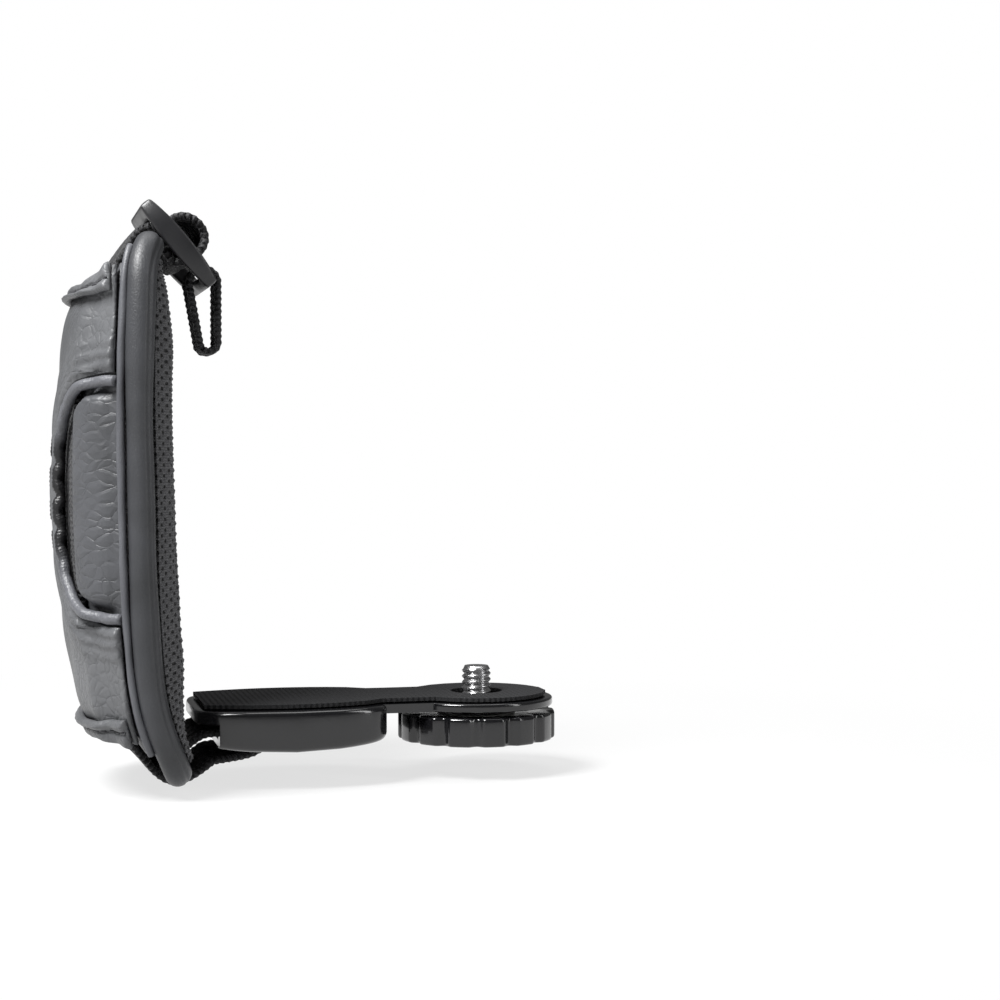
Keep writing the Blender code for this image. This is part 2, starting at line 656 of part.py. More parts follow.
def make_seat_pad(finish, group, cutters):
    """The rubber sheet on the plate, with a hole round the tripod screw."""
    start = BLOCK_LEFT + SEAT_INSET
    end = SCREW_X + DISC_RADIUS - SEAT_INSET

    def half_width(x):
        on_disc = math.sqrt(max((DISC_RADIUS - SEAT_INSET) ** 2 - (x - SCREW_X) ** 2, 0.003 ** 2))
        on_block = block_half_width(min(x, BLOCK_RIGHT)) * 0.9 - SEAT_INSET
        arm = ARM_HALF_WIDTH - SEAT_INSET
        to_arm = float(smooth((x - BLOCK_RIGHT + 0.006) / 0.006))
        waist = on_block + (arm - on_block) * to_arm
        return on_disc if x > SCREW_X else max(waist, on_disc if x > SCREW_X - DISC_RADIUS + SEAT_INSET else 0.0)

    bm = slab(30, 2)
    for vert in bm.verts:
        across, along, level = vert.co
        x = start + (end - start) * (math.sin(along * math.pi / 2) + 1.0) / 2
        vert.co = Vector((x, across * half_width(x), 0.0 if level > 0.5 else -SEAT_THICKNESS))
    seat = from_bmesh("seat_pad", bm, finish, group)
    use_cutter(seat, cylinder("seat_hole", SCREW_X, CLIP_RADIUS + GAP, -0.005, 0.005, 32, cutters))
    return seat


def turned(name, profile, segments, finish, group, shape=None):
    """A ring or shaft turned about the screw's axis from a profile of (radius, height) points."""
    bm = bmesh.new()
    verts = [bm.verts.new((radius, 0.0, height)) for radius, height in profile]
    edges = [bm.edges.new(pair) for pair in zip(verts, verts[1:] + verts[:1])]
    bmesh.ops.spin(bm, geom=verts + edges, cent=(0, 0, 0), axis=(0, 0, 1), angle=2 * math.pi,
                   steps=segments, use_merge=True)
    bmesh.ops.remove_doubles(bm, verts=bm.verts[:], dist=1e-6)
    for vert in bm.verts:
        if shape is not None:
            vert.co = shape(vert.co)
        vert.co.x += SCREW_X
    return from_bmesh(name, bm, finish, group)


def make_thumbwheel(finish, group):
    """The fluted wheel: a dished underside, a flange seat on top and a bore for the socket insert."""
    flute_zone = WHEEL_RADIUS - 0.0015
    seat_depth = FLANGE_THICKNESS + 2 * GAP
    dish = 0.0010
    profile = [
        (WASHER_RADIUS + 0.004, WHEEL_TOP), (WHEEL_RADIUS - 0.0007, WHEEL_TOP), (WHEEL_RADIUS, WHEEL_TOP - 0.0007),
        (WHEEL_RADIUS, WHEEL_BOTTOM + 0.0009), (WHEEL_RADIUS - 0.0009, WHEEL_BOTTOM),
        (WHEEL_RADIUS - 0.0034, WHEEL_BOTTOM), (WHEEL_RADIUS - 0.0044, WHEEL_BOTTOM + dish),
        (INSERT_RADIUS + 0.0030, WHEEL_BOTTOM + dish), (INSERT_RADIUS + 0.0022, WHEEL_BOTTOM),
        (INSERT_RADIUS + GAP, WHEEL_BOTTOM), (INSERT_RADIUS + GAP, WHEEL_TOP - seat_depth),
        (FLANGE_RADIUS + GAP, WHEEL_TOP - seat_depth), (FLANGE_RADIUS + GAP, WHEEL_TOP),
    ]

    def flute(place):
        radius = math.hypot(place.x, place.y)
        if radius < flute_zone:
            return place
        wave = math.cos(WHEEL_FLUTES * math.atan2(place.y, place.x))
        scale = 1.0 - FLUTE_DEPTH / WHEEL_RADIUS * max(0.0, wave) ** 1.5
        return Vector((place.x * scale, place.y * scale, place.z))

    return turned("thumbwheel", profile, WHEEL_FLUTES * 5, finish, group, flute)


def make_tripod_screw(finish, group):
    """The threaded stud with the flange that is moulded into the wheel."""
    top = WHEEL_TOP - GAP
    bm = bmesh.new()
    profile = [
        (0.0, THREAD_RISE), (THREAD_RADIUS - 0.0006, THREAD_RISE), (THREAD_RADIUS, THREAD_RISE - 0.0006),
        (THREAD_RADIUS, top), (FLANGE_RADIUS, top), (FLANGE_RADIUS, top - FLANGE_THICKNESS),
        (0.0, top - FLANGE_THICKNESS),
    ]
    verts = [bm.verts.new((SCREW_X + radius, 0.0, height)) for radius, height in profile]
    edges = [bm.edges.new(pair) for pair in zip(verts, verts[1:])]
    bmesh.ops.spin(bm, geom=verts + edges, cent=(SCREW_X, 0, 0), axis=(0, 0, 1), angle=2 * math.pi,
                   steps=32, use_merge=True)
    bmesh.ops.remove_doubles(bm, verts=bm.verts[:], dist=1e-6)
    return from_bmesh("tripod_screw", bm, finish, group)


def make_socket_insert(finish, group):
    top = WHEEL_TOP - 2 * GAP - FLANGE_THICKNESS
    profile = [
        (SOCKET_RADIUS, top), (INSERT_RADIUS, top), (INSERT_RADIUS, WHEEL_BOTTOM),
        (SOCKET_RADIUS + 0.0005, WHEEL_BOTTOM), (SOCKET_RADIUS, WHEEL_BOTTOM + 0.0005),
    ]
    return turned("socket_insert", profile, 32, finish, group)


def make_wheel_washer(finish, group):
    bore = THREAD_RADIUS + GAP
    low = WASHER_TOP - WASHER_THICKNESS
    profile = [(bore, WASHER_TOP), (WASHER_RADIUS, WASHER_TOP), (WASHER_RADIUS, low), (bore, low)]
    return turned("wheel_washer", profile, 32, finish, group)


def make_retaining_clip(finish, group, cutters):
    """The open spring clip that keeps the screw in the plate."""
    high = PLATE_TOP
    low = high - CLIP_THICKNESS
    inner = THREAD_RADIUS + GAP
    profile = [(inner, high), (CLIP_RADIUS, high), (CLIP_RADIUS, low), (inner, low)]
    clip = turned("retaining_clip", profile, 32, finish, group)
    use_cutter(clip, box("clip_mouth", (SCREW_X, -0.0019, low - 0.001), (SCREW_X + 0.009, 0.0019, high + 0.001),
                         cutters))
    return clip


def make_buckle(finish, group, cutters):
    """The moulded slide buckle: two spindle-shaped rails and three bars with two slots between."""
    middle, along, outward = buckle_axes()
    half = BUCKLE_MIDDLE_BAR / 2
    left = -half - BUCKLE_SLOT - BUCKLE_END_BAR
    right = half + BUCKLE_SLOT + BUCKLE_LUG_BAR
    slot_half = HALF_WEBBING + SIDE_CLEARANCE
    half_width = slot_half + BUCKLE_RAIL
    turn = Matrix((along, Vector((0, 1, 0)), outward)).transposed().to_4x4()
    place = Matrix.Translation(middle) @ turn
    bm = slab(12, 10)
    for vert in bm.verts:
        across, lengthwise, level = vert.co
        x = left + (right - left) * (lengthwise + 1.0) / 2
        narrow = 1.0 - 0.10 * abs(lengthwise) ** 3
        on_rail = float(smooth((abs(across) * half_width - slot_half) / (BUCKLE_RAIL / 2)))
        height = BUCKLE_THICKNESS / 2 + BUCKLE_BULGE / 2 * (1.0 - lengthwise ** 2) * on_rail
        vert.co = Vector((x, across * half_width * narrow, height if level > 0.5 else -height))
    buckle = from_bmesh("buckle", bm, finish, group)
    buckle.matrix_world = place
    round_edges(buckle)
    for name, low in (("end_slot", -half - BUCKLE_SLOT), ("lug_slot", half)):
        cutter = box(name, (low, -slot_half, -0.01), (low + BUCKLE_SLOT, slot_half, 0.01), cutters)
        cutter.matrix_world = place
        use_cutter(buckle, cutter)
    return buckle


def build():
    clear_scene()
    strap = collection("camera hand grip strap")
    cutters = collection("cutters")
    leatherette = material("grained leatherette", (0.070, 0.071, 0.076), 0.48)
    binding = material("smooth leatherette binding", (0.085, 0.086, 0.090), 0.42)
    knit = material("spacer knit", (0.060, 0.060, 0.063), 0.90)
    foam = material("padding foam", (0.25, 0.25, 0.26), 0.95)
    webbing = material("woven webbing", (0.012, 0.012, 0.013), 0.80)
    moulded = material("satin moulded plastic", (0.014, 0.014, 0.016), 0.35)
    gloss = material("gloss moulded plastic", (0.010, 0.010, 0.011), 0.18)
    rubber = material("seat rubber", (0.020, 0.020, 0.021), 0.85)
    steel = material("turned steel", (0.60, 0.60, 0.61), 0.28, 1.0)
    nylon = material("nylon washer", (0.70, 0.70, 0.68), 0.50)
    make_base_plate(gloss, strap, cutters)
    make_seat_pad(rubber, strap, cutters)
    make_hand_lining(knit, strap)
    make_foam_core(foam, strap)
    make_back_panel(leatherette, strap)
    make_edge_binding(binding, strap)
    make_outer_cover(leatherette, strap)
    make_window_rim("window_rim_near", -1, leatherette, strap)
    make_window_rim("window_rim_far", 1, leatherette, strap)
    make_cross_band("upper_cross_band", COVER_TOP - BAND_WIDTH / 2, leatherette, strap)
    make_cross_band("lower_cross_band", COVER_BOTTOM + BAND_WIDTH / 2, leatherette, strap)
    make_main_webbing(webbing, strap)
    make_lug_webbing(webbing, strap)
    make_buckle(moulded, strap, cutters)
    make_thumbwheel(gloss, strap)
    make_tripod_screw(steel, strap)
    make_socket_insert(steel, strap)
    make_wheel_washer(nylon, strap)
    make_retaining_clip(steel, strap, cutters)


build()
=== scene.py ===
# %% [markdown]
# # Camera hand grip strap
# A padded strap that holds the back of the hand against a camera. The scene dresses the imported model:
# every piece stands where its solid stands, in metres, and moves with the body it belongs to.

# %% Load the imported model
import math

import bpy
import numpy as np
from mathutils import Matrix, Vector


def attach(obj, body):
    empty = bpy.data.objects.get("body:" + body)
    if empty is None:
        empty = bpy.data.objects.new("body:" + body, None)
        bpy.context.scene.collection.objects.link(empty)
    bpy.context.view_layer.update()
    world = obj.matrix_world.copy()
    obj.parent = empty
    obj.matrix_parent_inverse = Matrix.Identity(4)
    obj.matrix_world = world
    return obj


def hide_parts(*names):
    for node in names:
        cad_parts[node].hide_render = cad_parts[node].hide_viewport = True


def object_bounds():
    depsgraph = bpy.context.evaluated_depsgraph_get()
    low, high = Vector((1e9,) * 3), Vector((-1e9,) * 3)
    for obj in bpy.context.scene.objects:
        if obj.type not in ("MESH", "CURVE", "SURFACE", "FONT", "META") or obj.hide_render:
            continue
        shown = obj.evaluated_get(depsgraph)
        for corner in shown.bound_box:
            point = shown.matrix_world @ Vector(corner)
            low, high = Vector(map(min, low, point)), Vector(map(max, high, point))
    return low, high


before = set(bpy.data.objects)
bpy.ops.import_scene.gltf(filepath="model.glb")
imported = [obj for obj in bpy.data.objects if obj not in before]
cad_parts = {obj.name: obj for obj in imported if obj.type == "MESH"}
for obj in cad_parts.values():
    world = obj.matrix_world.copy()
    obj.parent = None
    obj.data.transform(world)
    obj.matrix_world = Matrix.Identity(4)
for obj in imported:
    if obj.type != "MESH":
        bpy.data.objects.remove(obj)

MM = 0.001
cad_low, cad_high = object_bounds()
print("nodes", len(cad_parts), "box in mm", [round((b - a) / MM, 1) for a, b in zip(cad_low, cad_high)])

# %% [markdown]
# ## Sizes
# The dressed pieces repeat the sizes of the solids they stand for, so that each one lands on its solid.
# They are real lengths: webbing 25 mm wide, a wheel 34 mm across, a pad of about 60 by 125 mm.

# %% Sizes shared with the solids, in metres
GAP = 0.0003
LAYER_GAP = 0.0005
END_MARGIN = 1.9
SCREW_X = 0.020
THREAD_RADIUS = 0.003175
THREAD_RISE = 0.0055
THREAD_PITCH = 0.00127
WHEEL_RADIUS = 0.0172
WHEEL_THICKNESS = 0.0062
WHEEL_FLUTES = 14
FLUTE_DEPTH = 0.0011
WASHER_RADIUS = 0.0085
WASHER_THICKNESS = 0.0005
FLANGE_RADIUS = 0.0063
FLANGE_THICKNESS = 0.0008
INSERT_RADIUS = 0.0052
SOCKET_RADIUS = 0.0032
SEAT_THICKNESS = 0.0008
ARM_THICKNESS = 0.0019
ARM_HALF_WIDTH = 0.0115
DISC_RADIUS = 0.0167
BLOCK_LEFT = -0.0425
BLOCK_RIGHT = -0.0020
BLOCK_END_HALF_WIDTH = 0.0150
BLOCK_BULGE = 0.0042
BLOCK_END_DEPTH = 0.0072
BLOCK_BELLY = 0.0014
LIP_THICKNESS = 0.0026
LIP_LENGTH = 0.0045
SLOT_HEIGHT = 0.0034
BAR_LENGTH = 0.0085
SLOT_MOUTH = 0.0060
BAR_THICKNESS = 0.0014
CLIP_RADIUS = 0.0054
CLIP_THICKNESS = 0.0006
WEBBING_WIDTH = 0.025
WEBBING_THICKNESS = 0.0016
LUG_WEBBING_WIDTH = 0.010
LUG_WEBBING_THICKNESS = 0.0014
LUG_LOOP_LENGTH = 0.0125
LUG_LOOP_RADIUS, LUG_FOOT_RADIUS = 0.0030, 0.0019
LUG_LOOP_TILT = math.radians(-5)
SIDE_CLEARANCE = 0.0006
PAD_X, PAD_Z = -0.0638, 0.0421
PAD_LEAN = math.radians(-0.94)
PAD_BOW_RADIUS = 0.226
PAD_ARCH_RADIUS = 0.0477
UPPER_FLATTENING, LOWER_FLATTENING = 0.363, 0.322
PAD_HALF_WIDTH = 0.0301
PAD_UPPER_LENGTH = 0.0613
PAD_LOWER_LENGTH = 0.0649
PAD_END_POWER, PAD_SIDE_POWER = 6.0, 4.0
UPPER_CURL, UPPER_CURL_LENGTH = math.radians(43.8), 0.0175
LOWER_CURL, LOWER_CURL_LENGTH = math.radians(24.5), 0.0343
UPPER_NOTCH, LOWER_NOTCH = 0.0092, 0.0077
END_PRESS = 0.0042
NOTCH_LENGTH, CHANNEL_SLOPE = 0.026, 0.013
BINDING_RADIUS = 0.0028
LINING_THICKNESS = 0.0060
LINING_EDGE = 0.0010
LINING_OVERHANG = 0.0012
FOAM_THICKNESS = 0.0040
PANEL_THICKNESS = 0.0014
COVER_THICKNESS = 0.0011
BAND_THICKNESS = 0.0016
BAND_WIDTH = 0.0062
SLEEVE_HALF_WIDTH = 0.0152
SLEEVE_SLOPE = 0.0050
COVER_TOP = PAD_UPPER_LENGTH - 0.0128
COVER_BOTTOM = 0.0154 - PAD_LOWER_LENGTH
SLEEVE_END = 0.0040
WINDOW_MIDDLE, WINDOW_HALF_HEIGHT = 0.0008, 0.0240
WAIST_HALF_WIDTH, WINDOW_POWER = 0.0075, 2.8
RIM_RADIUS, RIM_GATHER = 0.0011, 0.12
RIM_GATHER_PITCH = 0.0034
RIM_MARGIN = RIM_RADIUS * (1.0 + RIM_GATHER) + GAP
BUCKLE_REACH, BUCKLE_RISE = 0.0085, 0.0036
BUCKLE_ANGLE = math.radians(50)
BUCKLE_END_BAR, BUCKLE_MIDDLE_BAR, BUCKLE_LUG_BAR = 0.0034, 0.0034, 0.0028
BUCKLE_SLOT, BUCKLE_RAIL = 0.0060, 0.0030
BUCKLE_THICKNESS, BUCKLE_BULGE = 0.0028, 0.0020
HUMP_HEIGHT, TAIL_LENGTH = 0.0062, 0.0045

PLATE_TOP = -SEAT_THICKNESS - GAP
PLATE_BOTTOM = PLATE_TOP - ARM_THICKNESS
WHEEL_TOP = PLATE_BOTTOM - GAP - WASHER_THICKNESS - GAP
WHEEL_BOTTOM = WHEEL_TOP - WHEEL_THICKNESS
PANEL_INNER = FOAM_THICKNESS - BINDING_RADIUS + GAP
PANEL_OUTER = PANEL_INNER + PANEL_THICKNESS
WEBBING_INNER = max(PANEL_OUTER, BINDING_RADIUS) + LAYER_GAP
WEBBING_LEVEL = WEBBING_INNER + WEBBING_THICKNESS / 2
COVER_LOW = PANEL_OUTER + LAYER_GAP
COVER_STEP = WEBBING_INNER + WEBBING_THICKNESS + LAYER_GAP - COVER_LOW
LAYER_INSET = BINDING_RADIUS + LAYER_GAP
HALF_WEBBING = WEBBING_WIDTH / 2

# %% [markdown]
# ## The pad's form
# A sewn pad starts as flat pattern pieces. Each layer is laid out flat, as s along the pad, t across it
# and n outwards, and one function bends that layout over the arch of the hand, bows it and curls its two
# ends. All layers use the same function, so they keep their order wherever the pad bends.

# %% Bend the flat layout to the pad


def smooth(x):
    """A step from 0 to 1 with level ends."""
    x = np.clip(x, 0.0, 1.0)
    return x * x * (3.0 - 2.0 * x)


def tangent_angle(s):
    """Angle of the pad's centre line from the vertical."""
    upper = smooth((s - PAD_UPPER_LENGTH + UPPER_CURL_LENGTH) / UPPER_CURL_LENGTH)
    lower = smooth((-s - PAD_LOWER_LENGTH + LOWER_CURL_LENGTH) / LOWER_CURL_LENGTH)
    return PAD_LEAN + s / PAD_BOW_RADIUS + UPPER_CURL * upper - LOWER_CURL * lower


def running_sum(values, s):
    """The integral of values along s, zero at s = 0."""
    steps = (values[1:] + values[:-1]) / 2 * np.diff(s)
    total = np.concatenate([[0.0], np.cumsum(steps)])
    return total - np.interp(0.0, s, total)


LINE_S = np.linspace(-1.5 * PAD_LOWER_LENGTH, 1.5 * PAD_UPPER_LENGTH, 1501)
LINE_X = PAD_X + running_sum(np.sin(tangent_angle(LINE_S)), LINE_S)
LINE_Z = PAD_Z + running_sum(np.cos(tangent_angle(LINE_S)), LINE_S)


def arch_share(s):
    """How strongly the pad arches across at s: fully in its middle, less towards both ends."""
    upper, lower = smooth(s / PAD_UPPER_LENGTH), smooth(-s / PAD_LOWER_LENGTH)
    return 1.0 - UPPER_FLATTENING * upper - LOWER_FLATTENING * lower


def on_pad(s, t, n):
    """Points of the bent pad for a flat place s, t and a height n. All three may be arrays."""
    s, t, n = np.broadcast_arrays(np.asarray(s, float), np.asarray(t, float), np.asarray(n, float))
    upper = smooth((s - PAD_UPPER_LENGTH + NOTCH_LENGTH) / NOTCH_LENGTH)
    lower = smooth((-s - PAD_LOWER_LENGTH + NOTCH_LENGTH) / NOTCH_LENGTH)
    channel = 1.0 - smooth((abs(t) - HALF_WEBBING) / CHANNEL_SLOPE)
    run = s - channel * (UPPER_NOTCH * upper - LOWER_NOTCH * lower)
    height = n - END_PRESS * channel * (upper + lower)
    angle = tangent_angle(run)
    turn = t / PAD_ARCH_RADIUS
    drop = PAD_ARCH_RADIUS * (np.cos(turn) - 1.0) * arch_share(s) + height * np.cos(turn)
    x = np.interp(run, LINE_S, LINE_X) - np.cos(angle) * drop
    z = np.interp(run, LINE_S, LINE_Z) + np.sin(angle) * drop
    return np.stack([x, (PAD_ARCH_RADIUS + height) * np.sin(turn), z], axis=-1)


def pad_breadth(s, inset=0.0):
    """Half the pad's width at s, for an outline inset inside the pad's edge."""
    length = np.where(s > 0, PAD_UPPER_LENGTH, PAD_LOWER_LENGTH) - inset * END_MARGIN
    share = np.minimum(abs(s) / length, 1.0)
    return (PAD_HALF_WIDTH - inset) * (1.0 - share ** PAD_END_POWER) ** (1.0 / PAD_SIDE_POWER)


def fullness(s):
    """How full the padding is: 1 in the middle of the pad, 0 at its ends."""
    length = np.where(s > 0, PAD_UPPER_LENGTH, PAD_LOWER_LENGTH)
    return 1.0 - smooth(abs(s) / length * 2.2 - 1.1)


def window_depth(s, grow):
    """How far the cover's window, grown by a margin, reaches in from the pad's side at s."""
    share = np.minimum(abs(s - WINDOW_MIDDLE) / (WINDOW_HALF_HEIGHT + grow), 1.0)
    reach = PAD_HALF_WIDTH - WAIST_HALF_WIDTH + grow
    return reach * (1.0 - share ** WINDOW_POWER) ** (1.0 / WINDOW_POWER)


def cover_level(t):
    """Underside of the outer cover: it rises over the webbing and lies on the panel beside it."""
    return COVER_LOW + COVER_STEP * (1.0 - smooth((abs(t) - SLEEVE_HALF_WIDTH) / SLEEVE_SLOPE))


print("pad's upper tip in mm", on_pad(PAD_UPPER_LENGTH, 0.0, 0.0) / MM)

# %% [markdown]
# ## Meshes from grids of points
# Nearly every soft piece here is a grid of points: rows along it, columns round it. Writing the grid
# straight into a mesh keeps clean quads and gives each point a UV in millimetres, so that a weave or a
# knit can follow the cloth however it bends.

# %% Grid meshes and their helpers


def grid_mesh(name, points, uv, round_rows=False, round_columns=True, capped=True):
    """A mesh from points[row, column], joined round its rows or columns, with uv in millimetres."""
    rows, columns = points.shape[:2]
    number = np.arange(rows * columns).reshape(rows, columns)
    if round_rows:
        number = np.vstack([number, number[:1]])
    if round_columns:
        number = np.hstack([number, number[:, :1]])
    four = [number[:-1, :-1], number[:-1, 1:], number[1:, 1:], number[1:, :-1]]
    quads = np.stack(four, axis=-1).reshape(-1, 4)
    faces = [tuple(quad) for quad in quads.tolist()]
    if capped and round_columns and not round_rows:
        faces.append(tuple(reversed(range(columns))))
        faces.append(tuple(range((rows - 1) * columns, rows * columns)))
    mesh = bpy.data.meshes.new(name)
    mesh.from_pydata(points.reshape(-1, 3).tolist(), [], faces)
    layer = mesh.uv_layers.new(name="cloth")
    corner = np.zeros(len(mesh.loops), np.int32)
    mesh.loops.foreach_get("vertex_index", corner)
    layer.data.foreach_set("uv", uv.reshape(-1, 2)[corner].astype(np.float32).ravel())
    mesh.validate()
    return mesh


def add_piece(name, mesh, material=None):
    """Puts a mesh in the scene as a smooth piece with its faces outwards."""
    co = np.zeros(len(mesh.vertices) * 3)
    mesh.vertices.foreach_get("co", co)
    mesh.calc_loop_triangles()
    tri = np.zeros(len(mesh.loop_triangles) * 3, np.int32)
    mesh.loop_triangles.foreach_get("vertices", tri)
    a, b, c = (co.reshape(-1, 3)[tri.reshape(-1, 3)[:, k]] for k in range(3))
    if np.einsum("ij,ij->", a, np.cross(b, c)) < 0.0:
        mesh.flip_normals()
    mesh.shade_smooth()
    piece = bpy.data.objects.new(name, mesh)
    bpy.context.scene.collection.objects.link(piece)
    if material is not None:
        mesh.materials.append(material)
    return piece


def dress(piece, node=None, body="strap"):
    """Makes a finished piece ride its body, and hides the solid it stands for."""
    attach(piece, body)
    if node is not None:
        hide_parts(node)


def vertex_places(mesh):
    """The mesh's points as an array."""
    co = np.zeros(len(mesh.vertices) * 3)
    mesh.vertices.foreach_get("co", co)
    return co.reshape(-1, 3)


def vertex_normals(mesh):
    """The outward direction at each point of a mesh."""
    normals = np.zeros(len(mesh.vertices) * 3)
    mesh.vertex_normals.foreach_get("vector", normals)
    return normals.reshape(-1, 3)


def vertex_uv(mesh):
    """One UV for each point, in millimetres."""
    corner = np.zeros(len(mesh.loops), np.int32)
    mesh.loops.foreach_get("vertex_index", corner)
    uv = np.zeros(len(mesh.loops) * 2)
    mesh.uv_layers["cloth"].data.foreach_get("uv", uv)
    found = np.zeros((len(mesh.vertices), 2))
    found[corner] = uv.reshape(-1, 2)
    return found


def move_points(mesh, places):
    """Writes new places into a mesh."""
    mesh.vertices.foreach_set("co", np.ascontiguousarray(places, np.float32).ravel())
    mesh.update()


def settle(piece):
    """Turns a piece's modifiers into plain mesh."""
    graph = bpy.context.evaluated_depsgraph_get()
    settled = bpy.data.meshes.new_from_object(piece.evaluated_get(graph), preserve_all_data_layers=True,
                                              depsgraph=graph)
    piece.modifiers.clear()
    piece.data = settled
    return piece


def edge_round(flat, turns):
    """Places across a soft sheet's section: the flat part, the rounded edge and the share of thickness."""
    turn = np.linspace(0.0, math.pi / 2, turns + 1)[1:]
    middle = np.linspace(-1.0, 1.0, flat)
    place = np.concatenate([-np.ones(turns), middle, np.ones(turns)])
    reach = np.concatenate([-np.sin(turn)[::-1], np.zeros(flat), np.sin(turn)])
    share = np.concatenate([np.cos(turn)[::-1], np.ones(flat), np.cos(turn)])
    return place, reach, share


def soft_sheet(name, span, breadth, level, thickness, rows, columns, relief=None):
    """A closed sheet of even thickness with rounded edges, laid flat by breadth(s) and bent to the pad."""
    half = thickness / 2
    row_place, row_reach, row_share = edge_round(rows, 4)
    s = (span[0] + span[1]) / 2 + (span[1] - span[0] - thickness) / 2 * row_place + half * row_reach
    place, reach, share = edge_round(columns, 4)
    width = np.maximum(breadth(s), thickness * 1.2)
    t = (width[:, None] - half) * place + half * reach
    grid_s = np.repeat(s[:, None], len(place), axis=1)
    lift = half * np.minimum(share[None, :], row_share[:, None])
    middle = level(grid_s, t) + half
    top = middle + lift
    if relief is not None:
        top = top + relief(grid_s, t) * np.minimum(share[None, :], row_share[:, None])
    outside = on_pad(grid_s, t, top)
    inside = on_pad(grid_s, t, middle - lift)[:, -2:0:-1]
    uv = np.stack([t, grid_s], axis=-1) / MM
    return grid_mesh(name, np.concatenate([outside, inside], axis=1),
                     np.concatenate([uv, uv[:, -2:0:-1]], axis=1))


# %% [markdown]
# ## Materials
# Each finish starts from the real one. The grain, knit and weave sizes are real millimetres, and the
# colours are written as sRGB hex and turned linear by one function.

# %% One function for colours, one for nodes
BASE, ROUGH = "Base Color", "Roughness"
SOFT_STEP = "SMOOTHSTEP"


def linear(text):
    """An sRGB hex colour as linear values."""
    parts = [int(text[k:k + 2], 16) / 255 for k in (1, 3, 5)]
    return (*(v / 12.92 if v <= 0.04045 else ((v + 0.055) / 1.055) ** 2.4 for v in parts), 1.0)


def add(tree, kind, *values, at=None, **settings):
    """Adds a node. Values fill its inputs in order, at fills named ones; a node given as a value stands
    for its first output in use."""
    node = tree.nodes.new(kind if kind.startswith(("Geometry", "Function", "Node")) else "ShaderNode" + kind)
    for key, value in settings.items():
        setattr(node, key, value)
    used = [item for item in node.inputs if item.enabled]
    named = [(node.inputs[key], value) for key, value in (at or {}).items()]
    for target, value in [*zip(used, values), *named]:
        if isinstance(value, bpy.types.Node):
            value = next(item for item in value.outputs if item.enabled)
        if isinstance(value, bpy.types.NodeSocket):
            tree.links.new(value, target)
        else:
            target.default_value = value
    return node


def start_material(name, colour, roughness, metallic=0.0, specular=0.5, sheen=0.0):
    """A new material with its shader's plain values set, and its place in millimetres."""
    material = bpy.data.materials.new(name)
    material.use_nodes = True
    material.diffuse_color = linear(colour)
    tree = material.node_tree
    shader = tree.nodes["Principled BSDF"]
    plain = {BASE: linear(colour), ROUGH: roughness, "Metallic": metallic, "Specular IOR Level": specular,
             "Sheen Weight": sheen}
    for key, value in plain.items():
        shader.inputs[key].default_value = value
    place = add(tree, "VectorMath", add(tree, "TexCoord").outputs["Object"], 1.0 / MM, operation="SCALE")
    return material, tree, shader, place


def finish(tree, shader, height, relief, links):
    """Gives a shader its relief of so many metres and its varied inputs."""
    bump = add(tree, "Bump", at={"Height": height, "Distance": relief})
    for key, value in {**links, "Normal": bump}.items():
        tree.links.new(next(item for item in value.outputs if item.enabled), shader.inputs[key])


# %% [markdown]
# ### Leatherette
# PU leatherette is a knit backing with a foamed skin that is embossed with a pebble grain and finished
# satin. Voronoi cells give the pebbles: near a cell's edge lies the crease, and a slow noise breaks the
# creases up, so that they read as wrinkles of a skin and not as tiles. The swelled cushion has a larger
# grain, drawn out sideways.

# %% Leatherette finishes


def leatherette(name, low, high, grain, crease, relief, squeeze=1.0):
    """Embossed leatherette with pebbles of so many millimetres, flattened upright by squeeze."""
    material, tree, shader, place = start_material(name, high, 0.5, specular=0.4)
    wander = add(tree, "TexNoise", place, 0.7 / grain, 2.0).outputs["Color"]
    shifted = add(tree, "VectorMath", wander, (0.7 * grain,) * 3, place, operation="MULTIPLY_ADD")
    pressed = add(tree, "VectorMath", shifted, (1.0, 1.0, squeeze), operation="MULTIPLY")
    cells = add(tree, "TexVoronoi", pressed, 1.0 / grain, feature="DISTANCE_TO_EDGE")
    pebble = add(tree, "MapRange", cells, 0.0, 0.30, interpolation_type=SOFT_STEP)
    line = add(tree, "MapRange", cells, 0.0, crease, 1.0, 0.0, interpolation_type=SOFT_STEP)
    patches = add(tree, "TexNoise", place, 0.45 / grain, 3.0)
    broken = add(tree, "MapRange", patches, 0.40, 0.62, 0.15, 1.0)
    wrinkle = add(tree, "Math", line, broken, operation="MULTIPLY")
    fine = add(tree, "TexNoise", place, 3.0, 4.0)
    broad = add(tree, "MapRange", add(tree, "TexNoise", place, 0.07, 3.0), 0.35, 0.65)
    body = add(tree, "Mix", broad, linear(low), linear(high), data_type="RGBA")
    # Painted shade: the colour darkens along the creases, as shade that falls in them.
    painted_crease_shade = add(tree, "Math", wrinkle, 0.12, operation="MULTIPLY")
    colour = add(tree, "Mix", painted_crease_shade, body, linear("#1d1e20"), data_type="RGBA")
    rough = add(tree, "MapRange", fine, 0.3, 0.7, 0.38, 0.54)
    height = add(tree, "Math", pebble, 0.75, add(tree, "Math", wrinkle, -0.4, operation="MULTIPLY"),
                 operation="MULTIPLY_ADD")
    height = add(tree, "Math", fine, 0.22, height, operation="MULTIPLY_ADD")
    finish(tree, shader, height, relief, {BASE: colour, ROUGH: rough})
    return material


